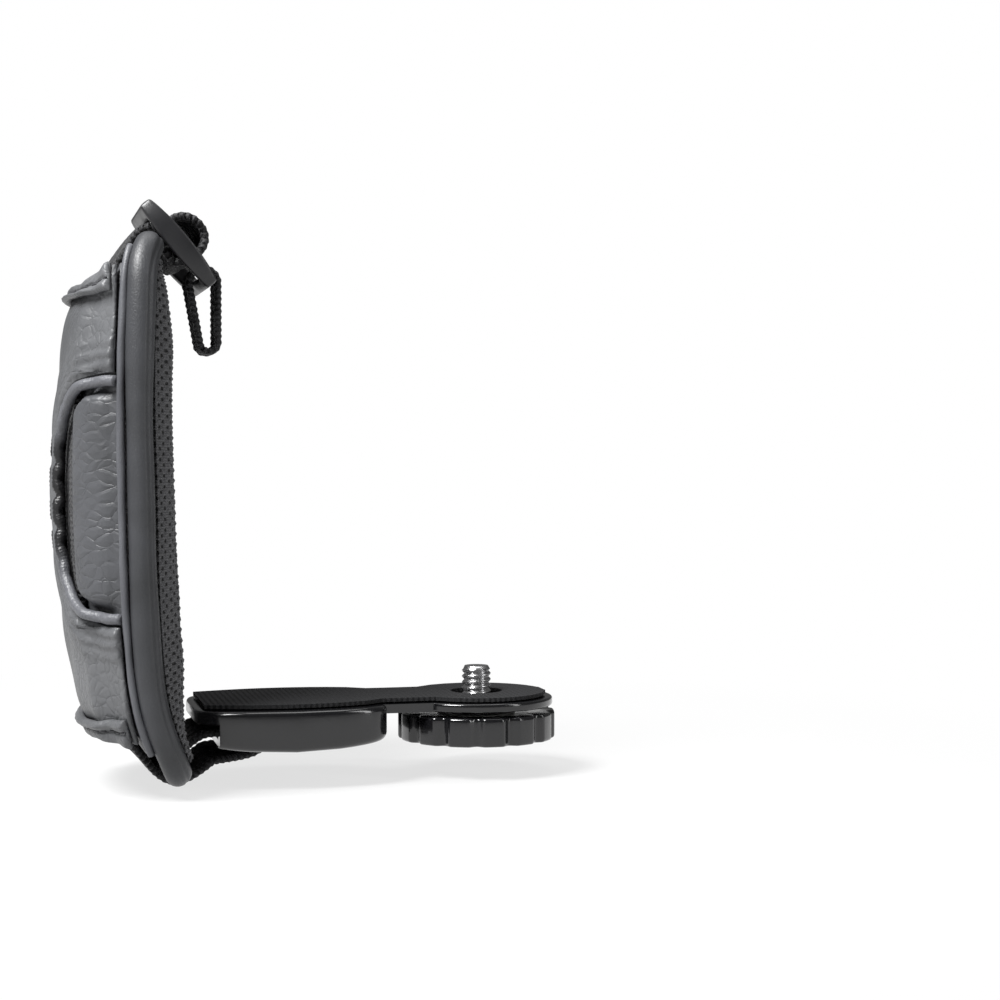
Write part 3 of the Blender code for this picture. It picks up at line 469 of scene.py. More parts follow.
cover_leather = leatherette("embossed leatherette, fine pebble", "#4a4b4d", "#5a5b5d", 2.1, 0.09, 0.00010)
cushion_leather = leatherette("embossed leatherette, broad pebble", "#3b3c3e", "#47484b", 3.6, 0.05, 0.00015,
                              squeeze=1.6)
binding_leather = leatherette("smooth leatherette binding", "#2c2d2f", "#37383b", 0.7, 0.05, 0.00002)
fold_leather = leatherette("smooth leatherette fold", "#47484c", "#525357", 0.7, 0.05, 0.00002)

# %% Finish of the window rims
WAIST_HEIGHT = 42.9


def rim_material():
    """Leatherette along a window's arcs, darkened near the waist's height as painted shade under the gathers.
    """
    name = "gathered rim, leatherette with painted shade at the waist"
    material, tree, shader, place = start_material(name, "#3a3b3e", 0.42)
    height = add(tree, "SeparateXYZ", place).outputs["Z"]
    below = add(tree, "Math", height, WAIST_HEIGHT, operation="SUBTRACT")
    away = add(tree, "Math", below, operation="ABSOLUTE")
    # Painted shade: within about 9 mm of the waist's height the rim turns near black, as shade under the
    # gathers, and it is back to leather beyond 17 mm.
    clear_of_painted_shade = add(tree, "MapRange", away, 9.0, 17.0, interpolation_type=SOFT_STEP)
    colour = add(tree, "Mix", clear_of_painted_shade, linear("#141416"), linear("#55565a"), data_type="RGBA")
    finish(tree, shader, add(tree, "TexNoise", place, 1.6, 4.0), 0.0002, {BASE: colour})
    return material


rim_leather = rim_material()

# %% [markdown]
# ### Knit, weave, foam and thread
# The lining is a spacer knit: two faces of looped yarn with open pits in staggered rows, so it breathes
# against the hand. The webbing is a herringbone weave of polypropylene, whose diagonal ribs turn back
# at each stripe. Both patterns read the piece's own UV, because they follow the cloth.

# %% Knit, weave, foam and thread finishes
KNIT_ACROSS, KNIT_ALONG = 2.6, 2.3
STRIPE, RIB = 2.5, 1.15
TURN = 2 * math.pi


def knit_material():
    """Spacer knit: grey yarn with pits pressed in, and darkened in the colour as painted shade."""
    name = "spacer knit, grey polyester"
    material, tree, shader, place = start_material(name, "#5a5a5c", 0.9, specular=0.2, sheen=0.15)
    cloth = add(tree, "SeparateXYZ", add(tree, "UVMap", uv_map="cloth"))
    waves = []
    rows = (("X", KNIT_ACROSS, "COSINE"), ("Y", KNIT_ALONG, "COSINE"), ("Y", KNIT_ALONG / 4, "SINE"))
    for axis, pitch, wave in rows:
        phase = add(tree, "Math", cloth.outputs[axis], TURN / pitch, operation="MULTIPLY")
        waves.append(add(tree, "Math", phase, operation=wave))
    both = add(tree, "Math", waves[0], waves[1], operation="MULTIPLY")
    pit = add(tree, "MapRange", both, 0.25, 0.85, interpolation_type=SOFT_STEP)
    yarn = add(tree, "TexNoise", place, 4.5, 3.0)
    tone = add(tree, "MapRange", yarn, 0.3, 0.7)
    body = add(tree, "Mix", tone, linear("#3b3b3d"), linear("#5a5a5c"), data_type="RGBA")
    # Painted shade: the pits are darkened towards near black, as shade that falls into them.
    colour = add(tree, "Mix", pit, body, linear("#161617"), data_type="RGBA")
    height = add(tree, "Math", waves[2], 0.3, yarn, operation="MULTIPLY_ADD")
    height = add(tree, "Math", pit, -1.6, height, operation="MULTIPLY_ADD")
    finish(tree, shader, height, 0.00016, {BASE: colour})
    return material


def weave_material():
    """Black webbing, woven in herringbone: the ribs' slant changes sides from stripe to stripe."""
    name = "woven polypropylene webbing"
    material, tree, shader, place = start_material(name, "#17171a", 0.62, specular=0.35, sheen=0.1)
    cloth = add(tree, "SeparateXYZ", add(tree, "UVMap", uv_map="cloth"))
    across, along = cloth.outputs["X"], cloth.outputs["Y"]
    stripe = add(tree, "Math", add(tree, "Math", across, STRIPE, operation="DIVIDE"), operation="FLOOR")
    odd = add(tree, "Math", stripe, 2.0, operation="FLOORED_MODULO")
    sign = add(tree, "Math", odd, 2.0, -1.0, operation="MULTIPLY_ADD")
    slant = add(tree, "Math", across, sign, along, operation="MULTIPLY_ADD")
    wave = add(tree, "Math", add(tree, "Math", slant, TURN / RIB, operation="MULTIPLY"), operation="COSINE")
    rib = add(tree, "Math", wave, 0.5, 0.5, operation="MULTIPLY_ADD")
    fibre = add(tree, "TexNoise", place, 6.0, 3.0)
    tone = add(tree, "Math", rib, add(tree, "Math", fibre, 0.35), operation="MULTIPLY")
    colour = add(tree, "Mix", tone, linear("#060607"), linear("#2a2a2d"), data_type="RGBA")
    height = add(tree, "Math", fibre, 0.5, rib, operation="MULTIPLY_ADD")
    finish(tree, shader, height, 0.00022, {BASE: colour})
    return material


def textured(name, colour, roughness, low, high, texture, scale, relief, specular):
    """A plain finish whose colour and relief follow one texture."""
    material, tree, shader, place = start_material(name, colour, roughness, specular=specular)
    share = add(tree, texture, place, scale)
    mixed = add(tree, "Mix", share, linear(low), linear(high), data_type="RGBA")
    finish(tree, shader, share, relief, {BASE: mixed})
    return material


knit = knit_material()
weave = weave_material()
foam = textured("open-cell padding foam", "#8a8a8c", 0.95, "#909092", "#5a5a5c",
                "TexVoronoi", 1.6, 0.0003, 0.2)
thread = textured("bonded polyester thread", "#2c2c2f", 0.5, "#1c1c1f", "#46464a",
                  "TexNoise", 9.0, 0.00005, 0.45)

# %% [markdown]
# ### Hard finishes
# The buckle is acetal, moulded in a spark-eroded tool that leaves a satin skin. The plate and the wheel
# are ABS from a polished tool, so they mirror the lights. The seat is a soft rubber sheet with fine ribs.

# %% Hard finishes
RUBBER_RIB = 1.2


def moulded(name, colour, roughness, texture, relief, coat=0.0):
    """A moulded plastic with a skin texture of so many millimetres."""
    material, tree, shader, place = start_material(name, colour, roughness)
    skin = add(tree, "TexNoise", place, 1.0 / texture, 3.0)
    wear = add(tree, "TexNoise", place, 0.12, 4.0)
    varied = add(tree, "MapRange", wear, 0.3, 0.7, roughness * 0.8, roughness * 1.25)
    if coat:
        shader.inputs["Coat Weight"].default_value = coat
        shader.inputs["Coat Roughness"].default_value = 0.06
    finish(tree, shader, skin, relief, {ROUGH: varied})
    return material


def ribbed_rubber():
    """Seat rubber with fine ribs across the plate."""
    material, tree, shader, place = start_material("ribbed seat rubber", "#1b1b1d", 0.82, specular=0.3)
    along = add(tree, "SeparateXYZ", place).outputs["X"]
    phase = add(tree, "Math", along, TURN / RUBBER_RIB, operation="MULTIPLY")
    wave = add(tree, "Math", phase, operation="COSINE")
    dust = add(tree, "TexNoise", place, 1.8, 4.0)
    colour = add(tree, "Mix", dust, linear("#131314"), linear("#29292b"), data_type="RGBA")
    finish(tree, shader, add(tree, "Math", wave, dust), 0.00012, {BASE: colour})
    return material


def turned_steel():
    """Nickel-plated turned steel, worn to varied gloss."""
    name = "nickel-plated turned steel"
    material, tree, shader, place = start_material(name, "#b9b9ba", 0.26, metallic=1.0)
    wear = add(tree, "TexNoise", place, 3.0, 4.0)
    rough = add(tree, "MapRange", wear, 0.3, 0.7, 0.2, 0.36)
    finish(tree, shader, wear, 0.00002, {ROUGH: rough})
    return material


acetal = moulded("satin acetal", "#1a1a1c", 0.36, 0.16, 0.00002)
gloss_abs = moulded("gloss black ABS", "#0e0e10", 0.16, 2.5, 0.00002, coat=0.35)
nylon = moulded("natural nylon", "#c9c8c2", 0.45, 0.3, 0.00001)
rubber = ribbed_rubber()
steel = turned_steel()
print("materials", len(bpy.data.materials))

# %% [markdown]
# ## Camera, lights and floor
# The camera stands where the photograph's did: a little to the left of the strap's side, level with the
# pad, with a short telephoto lens. The world is white to the camera's rays alone, and the floor to them
# and to reflections, so the lamps light the object and the background hardly does.

# %% Camera
camera = bpy.data.objects.new("camera", bpy.data.cameras.new("camera"))
bpy.context.scene.collection.objects.link(camera)
camera.data.sensor_width = 36.0
camera.data.lens = 74.52
camera.data.clip_start = 0.01
turn = Matrix(((0.9703, 0.0063, -0.2418), (-0.2419, 0.0254, -0.9700), (0.0, 0.9997, 0.0262)))
camera.matrix_world = Matrix.Translation((-0.0847, -0.4416, 0.0537)) @ turn.to_4x4()
bpy.context.scene.camera = camera

# %% Floor, world and lamps
bpy.context.scene.view_settings.view_transform = "Standard"
floor_height = cad_low.z - 0.0012


def white_to_camera(name, colour, foot):
    """A floor with a soft shadow, white to reflections and, away from the object, to the camera."""
    material = bpy.data.materials.new(name)
    material.use_nodes = True
    tree = material.node_tree
    tree.nodes.clear()
    path = add(tree, "LightPath")
    diffuse = add(tree, "BsdfDiffuse", linear(colour))
    glow = add(tree, "Emission", (1.0, 1.0, 1.0, 1.0), 1.0)
    away = add(tree, "VectorMath", add(tree, "TexCoord").outputs["Object"], foot, operation="DISTANCE")
    white = add(tree, "MapRange", away, 0.07, 0.22, 0.72, 1.0, interpolation_type=SOFT_STEP)
    direct = add(tree, "Math", path.outputs["Is Camera Ray"], white, operation="MULTIPLY")
    seen = add(tree, "Math", direct, path.outputs["Is Glossy Ray"], operation="MAXIMUM")
    mixed = add(tree, "MixShader", seen, diffuse, glow)
    add(tree, "OutputMaterial", at={"Surface": mixed})
    return material


FLOOR_REACH = 3.0
corners = [(x * FLOOR_REACH, y * FLOOR_REACH, floor_height) for x, y in ((-1, -1), (1, -1), (1, 1), (-1, 1))]
floor_mesh = bpy.data.meshes.new("floor")
floor_mesh.from_pydata(corners, [], [(0, 1, 2, 3)])
floor_mesh.materials.append(white_to_camera("white paper floor", "#c4c4c4", (-0.02, 0.0, floor_height)))
floor = bpy.data.objects.new("floor", floor_mesh)
bpy.context.scene.collection.objects.link(floor)

AMBIENT = 0.12
world = bpy.data.worlds.new("studio")
bpy.context.scene.world = world
world.use_nodes = True
world_tree = world.node_tree
world_tree.nodes.clear()
path = add(world_tree, "LightPath")
camera_ray = path.outputs["Is Camera Ray"]
strength = add(world_tree, "Math", camera_ray, 1.0 - AMBIENT, AMBIENT, operation="MULTIPLY_ADD")
sky = add(world_tree, "Background", (1.0, 1.0, 1.0, 1.0), strength)
add(world_tree, "OutputWorld", at={"Surface": sky})


def area_lamp(name, place, target, size, power):
    """A soft rectangular lamp that faces a point."""
    lamp = bpy.data.objects.new(name, bpy.data.lights.new(name, "AREA"))
    lamp.data.shape = "RECTANGLE"
    lamp.data.size, lamp.data.size_y = size
    lamp.data.energy = power
    lamp.location = place
    lamp.rotation_euler = (Vector(target) - Vector(place)).to_track_quat("-Z", "Y").to_euler()
    bpy.context.scene.collection.objects.link(lamp)


area_lamp("softbox high on the left", (-0.34, -0.17, 0.50), (-0.06, 0.0, 0.08), (0.25, 0.25), 9.0)
area_lamp("strip on the right", (0.50, -0.40, 0.30), (-0.02, 0.0, 0.03), (0.10, 0.6), 1.4)
area_lamp("soft top light", (0.0, 0.15, 0.7), (-0.03, 0.0, 0.03), (0.6, 0.4), 2.0)
print("floor at", round(floor_height / MM, 2), "mm")

# %% [markdown]
# ## The hand lining
# The side against the hand is a knitted cushion. It is sewn only at its edge, so air and foam push it
# out in the middle. The cushion starts a little thin, cloth simulation swells it while its seam is held,
# and the pits of the knit are pressed in afterwards, along the cloth's own UV.

# %% Swell a stuffed piece


def inflate(piece, held, pressure, cap, mask=None):
    """Blows a closed mesh up like a stuffed cover. Held points stay, and no point moves past cap."""
    group = piece.vertex_groups.new(name="seam")
    group.add([int(k) for k in np.nonzero(held)[0]], 1.0, "REPLACE")
    cloth = piece.modifiers.new("stuffing", "CLOTH")
    cloth.settings.quality = 6
    cloth.settings.mass = 0.2
    cloth.settings.vertex_group_mass = "seam"
    cloth.settings.use_pressure = True
    cloth.settings.uniform_pressure_force = pressure
    cloth.settings.effector_weights.gravity = 0.0
    cloth.point_cache.frame_start = 1
    cloth.point_cache.frame_end = 20
    before = vertex_places(piece.data)
    for number in range(1, 21):
        bpy.context.scene.frame_set(number)
    graph = bpy.context.evaluated_depsgraph_get()
    swelled = piece.evaluated_get(graph).to_mesh()
    after = vertex_places(swelled)
    piece.evaluated_get(graph).to_mesh_clear()
    piece.modifiers.clear()
    piece.vertex_groups.clear()
    bpy.context.scene.frame_set(1)
    move = after - before
    length = np.linalg.norm(move, axis=1, keepdims=True)
    move = move * np.minimum(1.0, cap / np.maximum(length, 1e-9))
    if mask is not None:
        move = move * mask[:, None]
    move_points(piece.data, before + move)
    print(piece.name, "swelled by up to", round(float(np.linalg.norm(move, axis=1).max()) / MM, 2), "mm")


def refine(piece, levels):
    """Subdivides a piece smoothly and settles it."""
    divide = piece.modifiers.new("finer cloth", "SUBSURF")
    divide.levels = divide.render_levels = levels
    divide.uv_smooth = "NONE"
    return settle(piece)


# %% Make the lining
lining_back = -BINDING_RADIUS - LAYER_GAP
lining_end = BINDING_RADIUS * END_MARGIN
lining_s = np.sin(np.linspace(-0.5, 0.5, 64) * math.pi) * 0.5 + 0.5
lining_s = (lining_end - PAD_LOWER_LENGTH) + lining_s * (PAD_UPPER_LENGTH + PAD_LOWER_LENGTH - 2 * lining_end)
share = np.sin(np.linspace(-0.5, 0.5, 39) * math.pi)
grid_s = np.repeat(lining_s[:, None], len(share), axis=1)
lining_t = share * (pad_breadth(lining_s) + LINING_OVERHANG)[:, None]
side = (1.0 - np.minimum(abs(share), 0.999) ** 8) ** 0.25
lining_low = lining_back - LINING_EDGE - (LINING_THICKNESS - 0.0006) * fullness(grid_s) * side
hand_side = on_pad(grid_s, lining_t, lining_low)
foam_side = on_pad(grid_s, lining_t, lining_back)


def cloth_run(points):
    """The distance along each row of points, from its first column."""
    return np.pad(np.cumsum(np.linalg.norm(np.diff(points, axis=1), axis=2), axis=1), ((0, 0), (1, 0)))


hand_run, foam_run = cloth_run(hand_side), cloth_run(foam_side)
hand_across = hand_run - hand_run[:, [len(share) // 2]]
wall = np.linalg.norm(foam_side - hand_side, axis=2)
foam_near = hand_across[:, [0]] - wall[:, [0]] - foam_run
foam_far = hand_across[:, [-1]] + wall[:, [-1]] + foam_run[:, [-1]] - foam_run
foam_across = np.where(share < 0, foam_near, foam_far)
hand_uv, foam_uv = (np.stack([across, grid_s], axis=-1) / MM for across in (hand_across, foam_across))
back_columns = np.arange(len(share) - 1, -1, -1)
mesh = grid_mesh("hand_lining_knit", np.concatenate([hand_side, foam_side[:, back_columns]], axis=1),
                 np.concatenate([hand_uv, foam_uv[:, back_columns]], axis=1))
lining = add_piece("hand_lining_knit", mesh, knit)
on_back = np.concatenate([np.zeros(hand_side.shape[:2], bool), np.ones(foam_side.shape[:2], bool)],
                         axis=1).ravel()
inflate(lining, on_back, 4.0, 0.0011)
refine(lining, 2)
places, normals, uv = vertex_places(lining.data), vertex_normals(lining.data), vertex_uv(lining.data)
loops = np.cos(2 * math.pi * uv[:, 0] / KNIT_ACROSS) * np.cos(2 * math.pi * uv[:, 1] / KNIT_ALONG)
move_points(lining.data, places - normals * (0.00028 * loops)[:, None])
dress(lining, "hand_lining")
print("lining triangles", len(lining.data.polygons) * 2)

# %% [markdown]
# ## Foam and back cushion
# Under the cover lies a leatherette panel over foam. It shows only in the two windows, where it swells
# between the waist and the edge. The simulation holds it wherever the cover or the binding presses.

# %% Make the foam core and the back cushion
blunt = 0.985
core_span = (-(PAD_LOWER_LENGTH - LAYER_INSET * END_MARGIN) * blunt,
             (PAD_UPPER_LENGTH - LAYER_INSET * END_MARGIN) * blunt)


def core_breadth(s):
    """Half the width of the layers that lie inside the binding."""
    return pad_breadth(s, LAYER_INSET)


mesh = soft_sheet("foam_core_padding", core_span, core_breadth, lambda s, t: -BINDING_RADIUS,
                  FOAM_THICKNESS, 50, 24)
core = add_piece("foam_core_padding", mesh, foam)
dress(core, "foam_core")


def in_window(s, t):
    """1 well inside the cover's window, 0 under the cover and at the pad's edge."""
    inside = smooth(window_depth(s, -RIM_RADIUS * 3) / 0.006)
    between = np.minimum(smooth((abs(t) - PAD_HALF_WIDTH + window_depth(s, -RIM_RADIUS)) / 0.003),
                         smooth((abs(t) - HALF_WEBBING - GAP) / 0.003))
    edge = smooth((core_breadth(s) - abs(t)) / 0.003)
    return inside * between * edge


CUSHION_SWELL = 0.0040


def cushion_form(s, t):
    """The swell of the foam in a window: steep beside the webbing, sloping away to the binding."""
    beside = np.clip((abs(t) - HALF_WEBBING) / (core_breadth(s) - HALF_WEBBING), 0.0, 1.0)
    return CUSHION_SWELL * in_window(s, t) * np.sin(math.pi * beside ** 0.62) ** 0.8


mesh = soft_sheet("back_cushion", core_span, core_breadth, lambda s, t: PANEL_INNER,
                  PANEL_THICKNESS, 90, 70, cushion_form)
cushion = add_piece("back_cushion", mesh, cushion_leather)
uv = vertex_uv(mesh) * MM
mask = in_window(uv[:, 1], uv[:, 0])
inflate(cushion, mask < 0.02, 3.0, 0.0008, np.sqrt(mask))
refine(cushion, 1)
dress(cushion, "back_panel")
print("cushion triangles", len(cushion.data.polygons) * 2)

# %% [markdown]
# ## The outer cover
# The hourglass cover is one sheet of leatherette. Its edge at each window is folded twice and sewn down,
# which leaves three soft ridges along the arc. The sheet is made flat with its folds as relief, then
# bent over the webbing.

# %% Make the cover


def cover_breadth(s):
    """Half the hourglass cover's width: the pad's own, less the window and its rim."""
    return np.minimum(PAD_HALF_WIDTH - window_depth(s, RIM_MARGIN), core_breadth(s))


def from_window(s, t):
    """Distance outwards from the window's arc, in metres, measured on the flat pattern."""
    across = (PAD_HALF_WIDTH - abs(t)) / (PAD_HALF_WIDTH - WAIST_HALF_WIDTH)
    along = abs(s - WINDOW_MIDDLE) / WINDOW_HALF_HEIGHT
    radius = (np.maximum(across, 0.0) ** WINDOW_POWER + along ** WINDOW_POWER) ** (1 / WINDOW_POWER)
    return (radius - 1.0) * WINDOW_HALF_HEIGHT * 0.85


def cover_folds(s, t):
    """Ridges of the folded hem, and slow waves of the cloth between them."""
    away = from_window(s, t) / MM
    ridges = np.zeros_like(away)
    for middle, width, height in ((2.5, 0.75, 0.75), (4.4, 0.8, 0.65), (6.4, 0.9, 0.35)):
        ridges = ridges + height * np.exp(-((away - middle) / width) ** 2)
    waves = (0.16 * np.sin(s / MM * 0.42 + 1.3 * np.sin(t / MM * 0.21))
             + 0.10 * np.sin(t / MM * 0.55 + s / MM * 0.19))
    return (ridges + waves + 0.1) * MM


mesh = soft_sheet("outer_cover_sheet", (COVER_BOTTOM, COVER_TOP), cover_breadth, lambda s, t: cover_level(t),
                  COVER_THICKNESS, 230, 90, cover_folds)
cover = add_piece("outer_cover_sheet", mesh, cover_leather)
dress(cover, "outer_cover")

# %% [markdown]
# ## Cross bands
# A folded strip hems each mouth of the sleeve. The photograph shows a stitch line sunk in it, with a
# rounded ridge on the window's side.

# %% Make the cross bands
BAND_LIFT = COVER_THICKNESS + LAYER_GAP * 0.6


def make_band(name, middle, towards_window, node):
    """One hem strip, with a groove for its stitches."""

    def relief(s, t):
        place = (s - middle) * towards_window / MM
        ridge = 0.55 * np.exp(-((place - 2.1) / 0.9) ** 2) + 0.25 * np.exp(-((place + 1.6) / 1.3) ** 2)
        groove = -0.45 * np.exp(-((place - 0.5) / 0.45) ** 2)
        return (ridge + groove + 0.06 * np.sin(t / MM * 1.3)) * MM

    mesh = soft_sheet(name, (middle - BAND_WIDTH / 2, middle + BAND_WIDTH / 2), core_breadth,
                      lambda s, t: cover_level(t) + BAND_LIFT, BAND_THICKNESS, 26, 80, relief)
    dress(add_piece(name, mesh, cover_leather), node)
    print(name, "triangles", len(mesh.polygons) * 2)


make_band("upper_hem_band", COVER_TOP - BAND_WIDTH / 2, -1.0, "upper_cross_band")
make_band("lower_hem_band", COVER_BOTTOM + BAND_WIDTH / 2, 1.0, "lower_cross_band")

# %% [markdown]
# ## Rolled edges
# The binding is a strip of smooth leatherette rolled round all the layers, so it reads as one thick
# cord. A second, thin roll lies beside it: the folded edge of the cover. Both are rings of points swept
# along a line on the pad, and both wander a little, as sewn rolls do.

# %% Sweep a ring along a line


def even_line(points, pitch, closed):
    """Points spaced evenly along a dense line."""
    line = np.vstack([points, points[:1]]) if closed else points
    run = np.concatenate([[0.0], np.cumsum(np.linalg.norm(np.diff(line, axis=0), axis=1))])
    count = max(4, int(round(run[-1] / pitch)))
    places = np.linspace(0.0, run[-1], count + 1)
    if closed:
        places = places[:-1]
    return np.stack([np.interp(places, run, line[:, k]) for k in range(3)], axis=1), places


def respread(values, count):
    """Rows of values, read again at count even steps."""
    old, new = np.linspace(0, 1, len(values)), np.linspace(0, 1, count)
    return np.stack([np.interp(new, old, values[:, k]) for k in range(3)], axis=1)


def swept(name, line, places, radius, sides, closed, up):
    """A rolled edge: a ring of so many sides at each point; radius(place, turn) gives its size there."""
    if closed:
        along = np.roll(line, -1, axis=0) - np.roll(line, 1, axis=0)
    else:
        along = np.gradient(line, axis=0)
    along = along / np.linalg.norm(along, axis=1, keepdims=True)
    across = np.cross(along, up)
    across = across / np.linalg.norm(across, axis=1, keepdims=True)
    over = np.cross(across, along)
    turn = np.linspace(0.0, 2 * math.pi, sides, endpoint=False)
    size = radius(places[:, None], turn[None, :])
    ring = (across[:, None, :] * np.cos(turn)[None, :, None] + over[:, None, :] * np.sin(turn)[None, :, None])
    points = line[:, None, :] + ring * size[:, :, None]
    uv = np.stack(np.broadcast_arrays(turn[None, :] * 2.8, places[:, None] / MM), axis=-1)
    return grid_mesh(name, points, uv, round_rows=closed)


# %% Make the binding and the folded edge beside it
turns = np.linspace(0.0, 2 * math.pi, 1441)[:-1]
length = np.where(np.cos(turns) > 0, PAD_UPPER_LENGTH, PAD_LOWER_LENGTH)
edge_s = np.sign(np.cos(turns)) * length * abs(np.cos(turns)) ** (2 / PAD_END_POWER)
edge_t = np.sign(np.sin(turns)) * PAD_HALF_WIDTH * abs(np.sin(turns)) ** (2 / PAD_SIDE_POWER)
line, places = even_line(on_pad(edge_s, edge_t, 0.0), 0.0007, True)
outward = respread(even_line(on_pad(edge_s, edge_t, 0.004), 0.0007, True)[0], len(line)) - line
outward = outward / np.linalg.norm(outward, axis=1, keepdims=True)


def binding_radius(place, turn):
    """The roll's radius, with soft waves along it and the groove of its seam at the side."""
    wave = 0.035 * np.sin(place / 0.0105) + 0.03 * np.sin(place / 0.0047 + 1.0) * np.sin(place / 0.031)
    groove = 0.09 * np.exp(-(np.sin(turn) / 0.16) ** 2)
    return BINDING_RADIUS * (1.0 + wave - groove + 0.03 * np.cos(2 * turn + place / 0.02))


roll = swept("edge_binding_roll", line, places, binding_radius, 48, True, outward)
binding = add_piece("edge_binding_roll", roll, binding_leather)
dress(binding, "edge_binding")

FOLD_RADIUS = 0.0008
FOLD_SEAT = 0.0021
for name, way in (("cover_edge_fold_near", -1), ("cover_edge_fold_far", 1)):
    fold_s = np.linspace(COVER_BOTTOM - 0.003, COVER_TOP + 0.0045, 300)
    fold_t = way * (pad_breadth(fold_s) - FOLD_SEAT)
    dense = on_pad(fold_s, fold_t, PANEL_OUTER + FOLD_RADIUS * 0.3)
    fold_line, fold_places = even_line(dense, 0.0006, False)
    fold_up = respread(on_pad(fold_s, fold_t, 0.01) - on_pad(fold_s, fold_t, 0.0), len(fold_line))

    def fold_radius(place, turn):
        """The fold's radius, uneven where the stitches pull it in."""
        return FOLD_RADIUS * (1.0 + 0.06 * np.sin(place / 0.0042) + 0.04 * np.sin(place / 0.0017 + 2 * turn))

    fold = add_piece(name, swept(name, fold_line, fold_places, fold_radius, 16, False, fold_up), fold_leather)
    dress(fold)
print("binding ring triangles", len(binding.data.polygons) * 2)

# %% [markdown]
# ## Window rims
# Elastic gathers each window's edge, and overlock thread whips it. The roll swells and narrows with the
# gathers, and fine ridges run round it where the thread bites.

# %% Make the gathered rims
for name, way, node in (("window_rim_near_roll", -1, "window_rim_near"),
                        ("window_rim_far_roll", 1, "window_rim_far")):
    sweep = np.linspace(-math.pi / 2, math.pi / 2, 721)
    rim_s = WINDOW_MIDDLE + np.sign(sweep) * WINDOW_HALF_HEIGHT * abs(np.sin(sweep)) ** (2 / WINDOW_POWER)
    rim_t = PAD_HALF_WIDTH - (PAD_HALF_WIDTH - WAIST_HALF_WIDTH) * np.cos(sweep) ** (2 / WINDOW_POWER)
    keep = rim_t <= pad_breadth(rim_s) - BINDING_RADIUS - GAP
    rim_s, rim_t = rim_s[keep], rim_t[keep]
    level = np.maximum(cover_level(rim_t - RIM_RADIUS * 2), PANEL_OUTER + LAYER_GAP)
    level = level + RIM_RADIUS * (1.0 + RIM_GATHER)
    level = level - 0.0010 * (1.0 - smooth((pad_breadth(rim_s) - BINDING_RADIUS - rim_t) / 0.0035))
    dense = on_pad(rim_s, rim_t * way, level)
    rim_line, rim_places = even_line(dense, 0.00022, False)
    rim_up = respread(on_pad(rim_s, rim_t * way, level + 0.01) - dense, len(rim_line))
    waist = rim_places[-1] / 2
    wander = 0.0004 * np.sin(rim_places / RIM_GATHER_PITCH * math.pi)
    wander = wander * np.exp(-((rim_places - waist) / 0.014) ** 2)
    rim_line = rim_line + rim_up / 0.01 * wander[:, None]

    def rim_radius(place, turn):
        """Gathers at the waist, soft waves along the arcs, and thread ridges every 0.7 mm."""
        at_waist = np.exp(-((place - waist) / 0.014) ** 2)
        gather = (0.01 + 0.15 * at_waist) * np.cos(2 * math.pi * place / RIM_GATHER_PITCH)
        thread_bite = (0.02 + 0.05 * at_waist) * np.cos(2 * math.pi * place / 0.0007 + turn)
        return RIM_RADIUS * (1.0 + gather + thread_bite)

    rim = add_piece(name, swept(name, rim_line, rim_places, rim_radius, 16, False, rim_up), rim_leather)
    dress(rim, node)
print("rims made")

# %% [markdown]
# ## Webbing
# One length of webbing runs from the buckle through the cover's sleeve, under the pad's end, round the
# plate's bar and back. It is a flat band with rounded selvedges, laid along a path in the plane of the
# strap. Real ribs stand on it as relief, so they also show on its outline.

# %% Lay a band along a path


def bezier(start, start_pull, end_pull, end, count):
    """Points of a cubic curve, ends included."""
    k = np.linspace(0.0, 1.0, count)[:, None]
    left = 1 - k
    return start * left ** 3 + 3 * start_pull * k * left ** 2 + 3 * end_pull * k * k * left + end * k ** 3


def band_mesh(name, path, arching, width, thickness, pitch, closed, selvedge):
    """Woven webbing along a path: ribs in herringbone, and rope-like selvedges."""
    line, places = even_line(path, pitch, closed)
    run = np.concatenate([[0.0], np.cumsum(np.linalg.norm(np.diff(path, axis=0), axis=1))])
    arch = np.interp(places, run, arching)
    if closed:
        along = np.roll(line, -1, axis=0) - np.roll(line, 1, axis=0)
    else:
        along = np.gradient(line, axis=0)
    along = along / np.linalg.norm(along, axis=1, keepdims=True)
    outward = np.stack([along[:, 2], np.zeros(len(along)), -along[:, 0]], axis=1)
    place, reach, share = edge_round(int(width / 0.00045), 4)
    half = thickness / 2
    t = (width / 2 - half) * place + half * reach
    stripe = np.floor(t / MM / STRIPE)
    sign = np.where(np.mod(stripe, 2) > 0.5, 1.0, -1.0)
    v = places[:, None] / MM
    rib = np.cos(2 * math.pi * (v + sign[None, :] * t[None, :] / MM) / RIB)
    rope = np.cos(2 * math.pi * v / 1.3) * smooth((abs(t) - width / 2 + selvedge) / (selvedge * 0.6))[None, :]
    relief = 0.00011 * rib * (1.0 - smooth((abs(t) - width / 2 + selvedge) / 0.0005)) + 0.00010 * rope
    radius = PAD_ARCH_RADIUS + WEBBING_LEVEL
    shells = []
    for face in (1.0, -1.0):
        n = face * (half * share[None, :] + relief * share[None, :])
        spread = t[None, :] * (1.0 + 0.05 * rope * smooth((abs(t) - width / 2 + 0.0006) / 0.0006)[None, :])
        turn = spread / radius
        drop = (radius + n) * np.cos(turn) - radius
        flat_out, flat_side = n, spread
        out = flat_out + (drop - flat_out) * arch[:, None]
        side = flat_side + ((radius + n) * np.sin(turn) - flat_side) * arch[:, None]
        points = line[:, None, :] + outward[:, None, :] * out[:, :, None]
        points[:, :, 1] += side
        shells.append(points)
    points = np.concatenate([shells[0], shells[1][:, -2:0:-1]], axis=1)
    uv = np.stack(np.broadcast_arrays(t[None, :] / MM, v), axis=-1)
    return grid_mesh(name, points, np.concatenate([uv, uv[:, -2:0:-1]], axis=1), round_rows=closed)


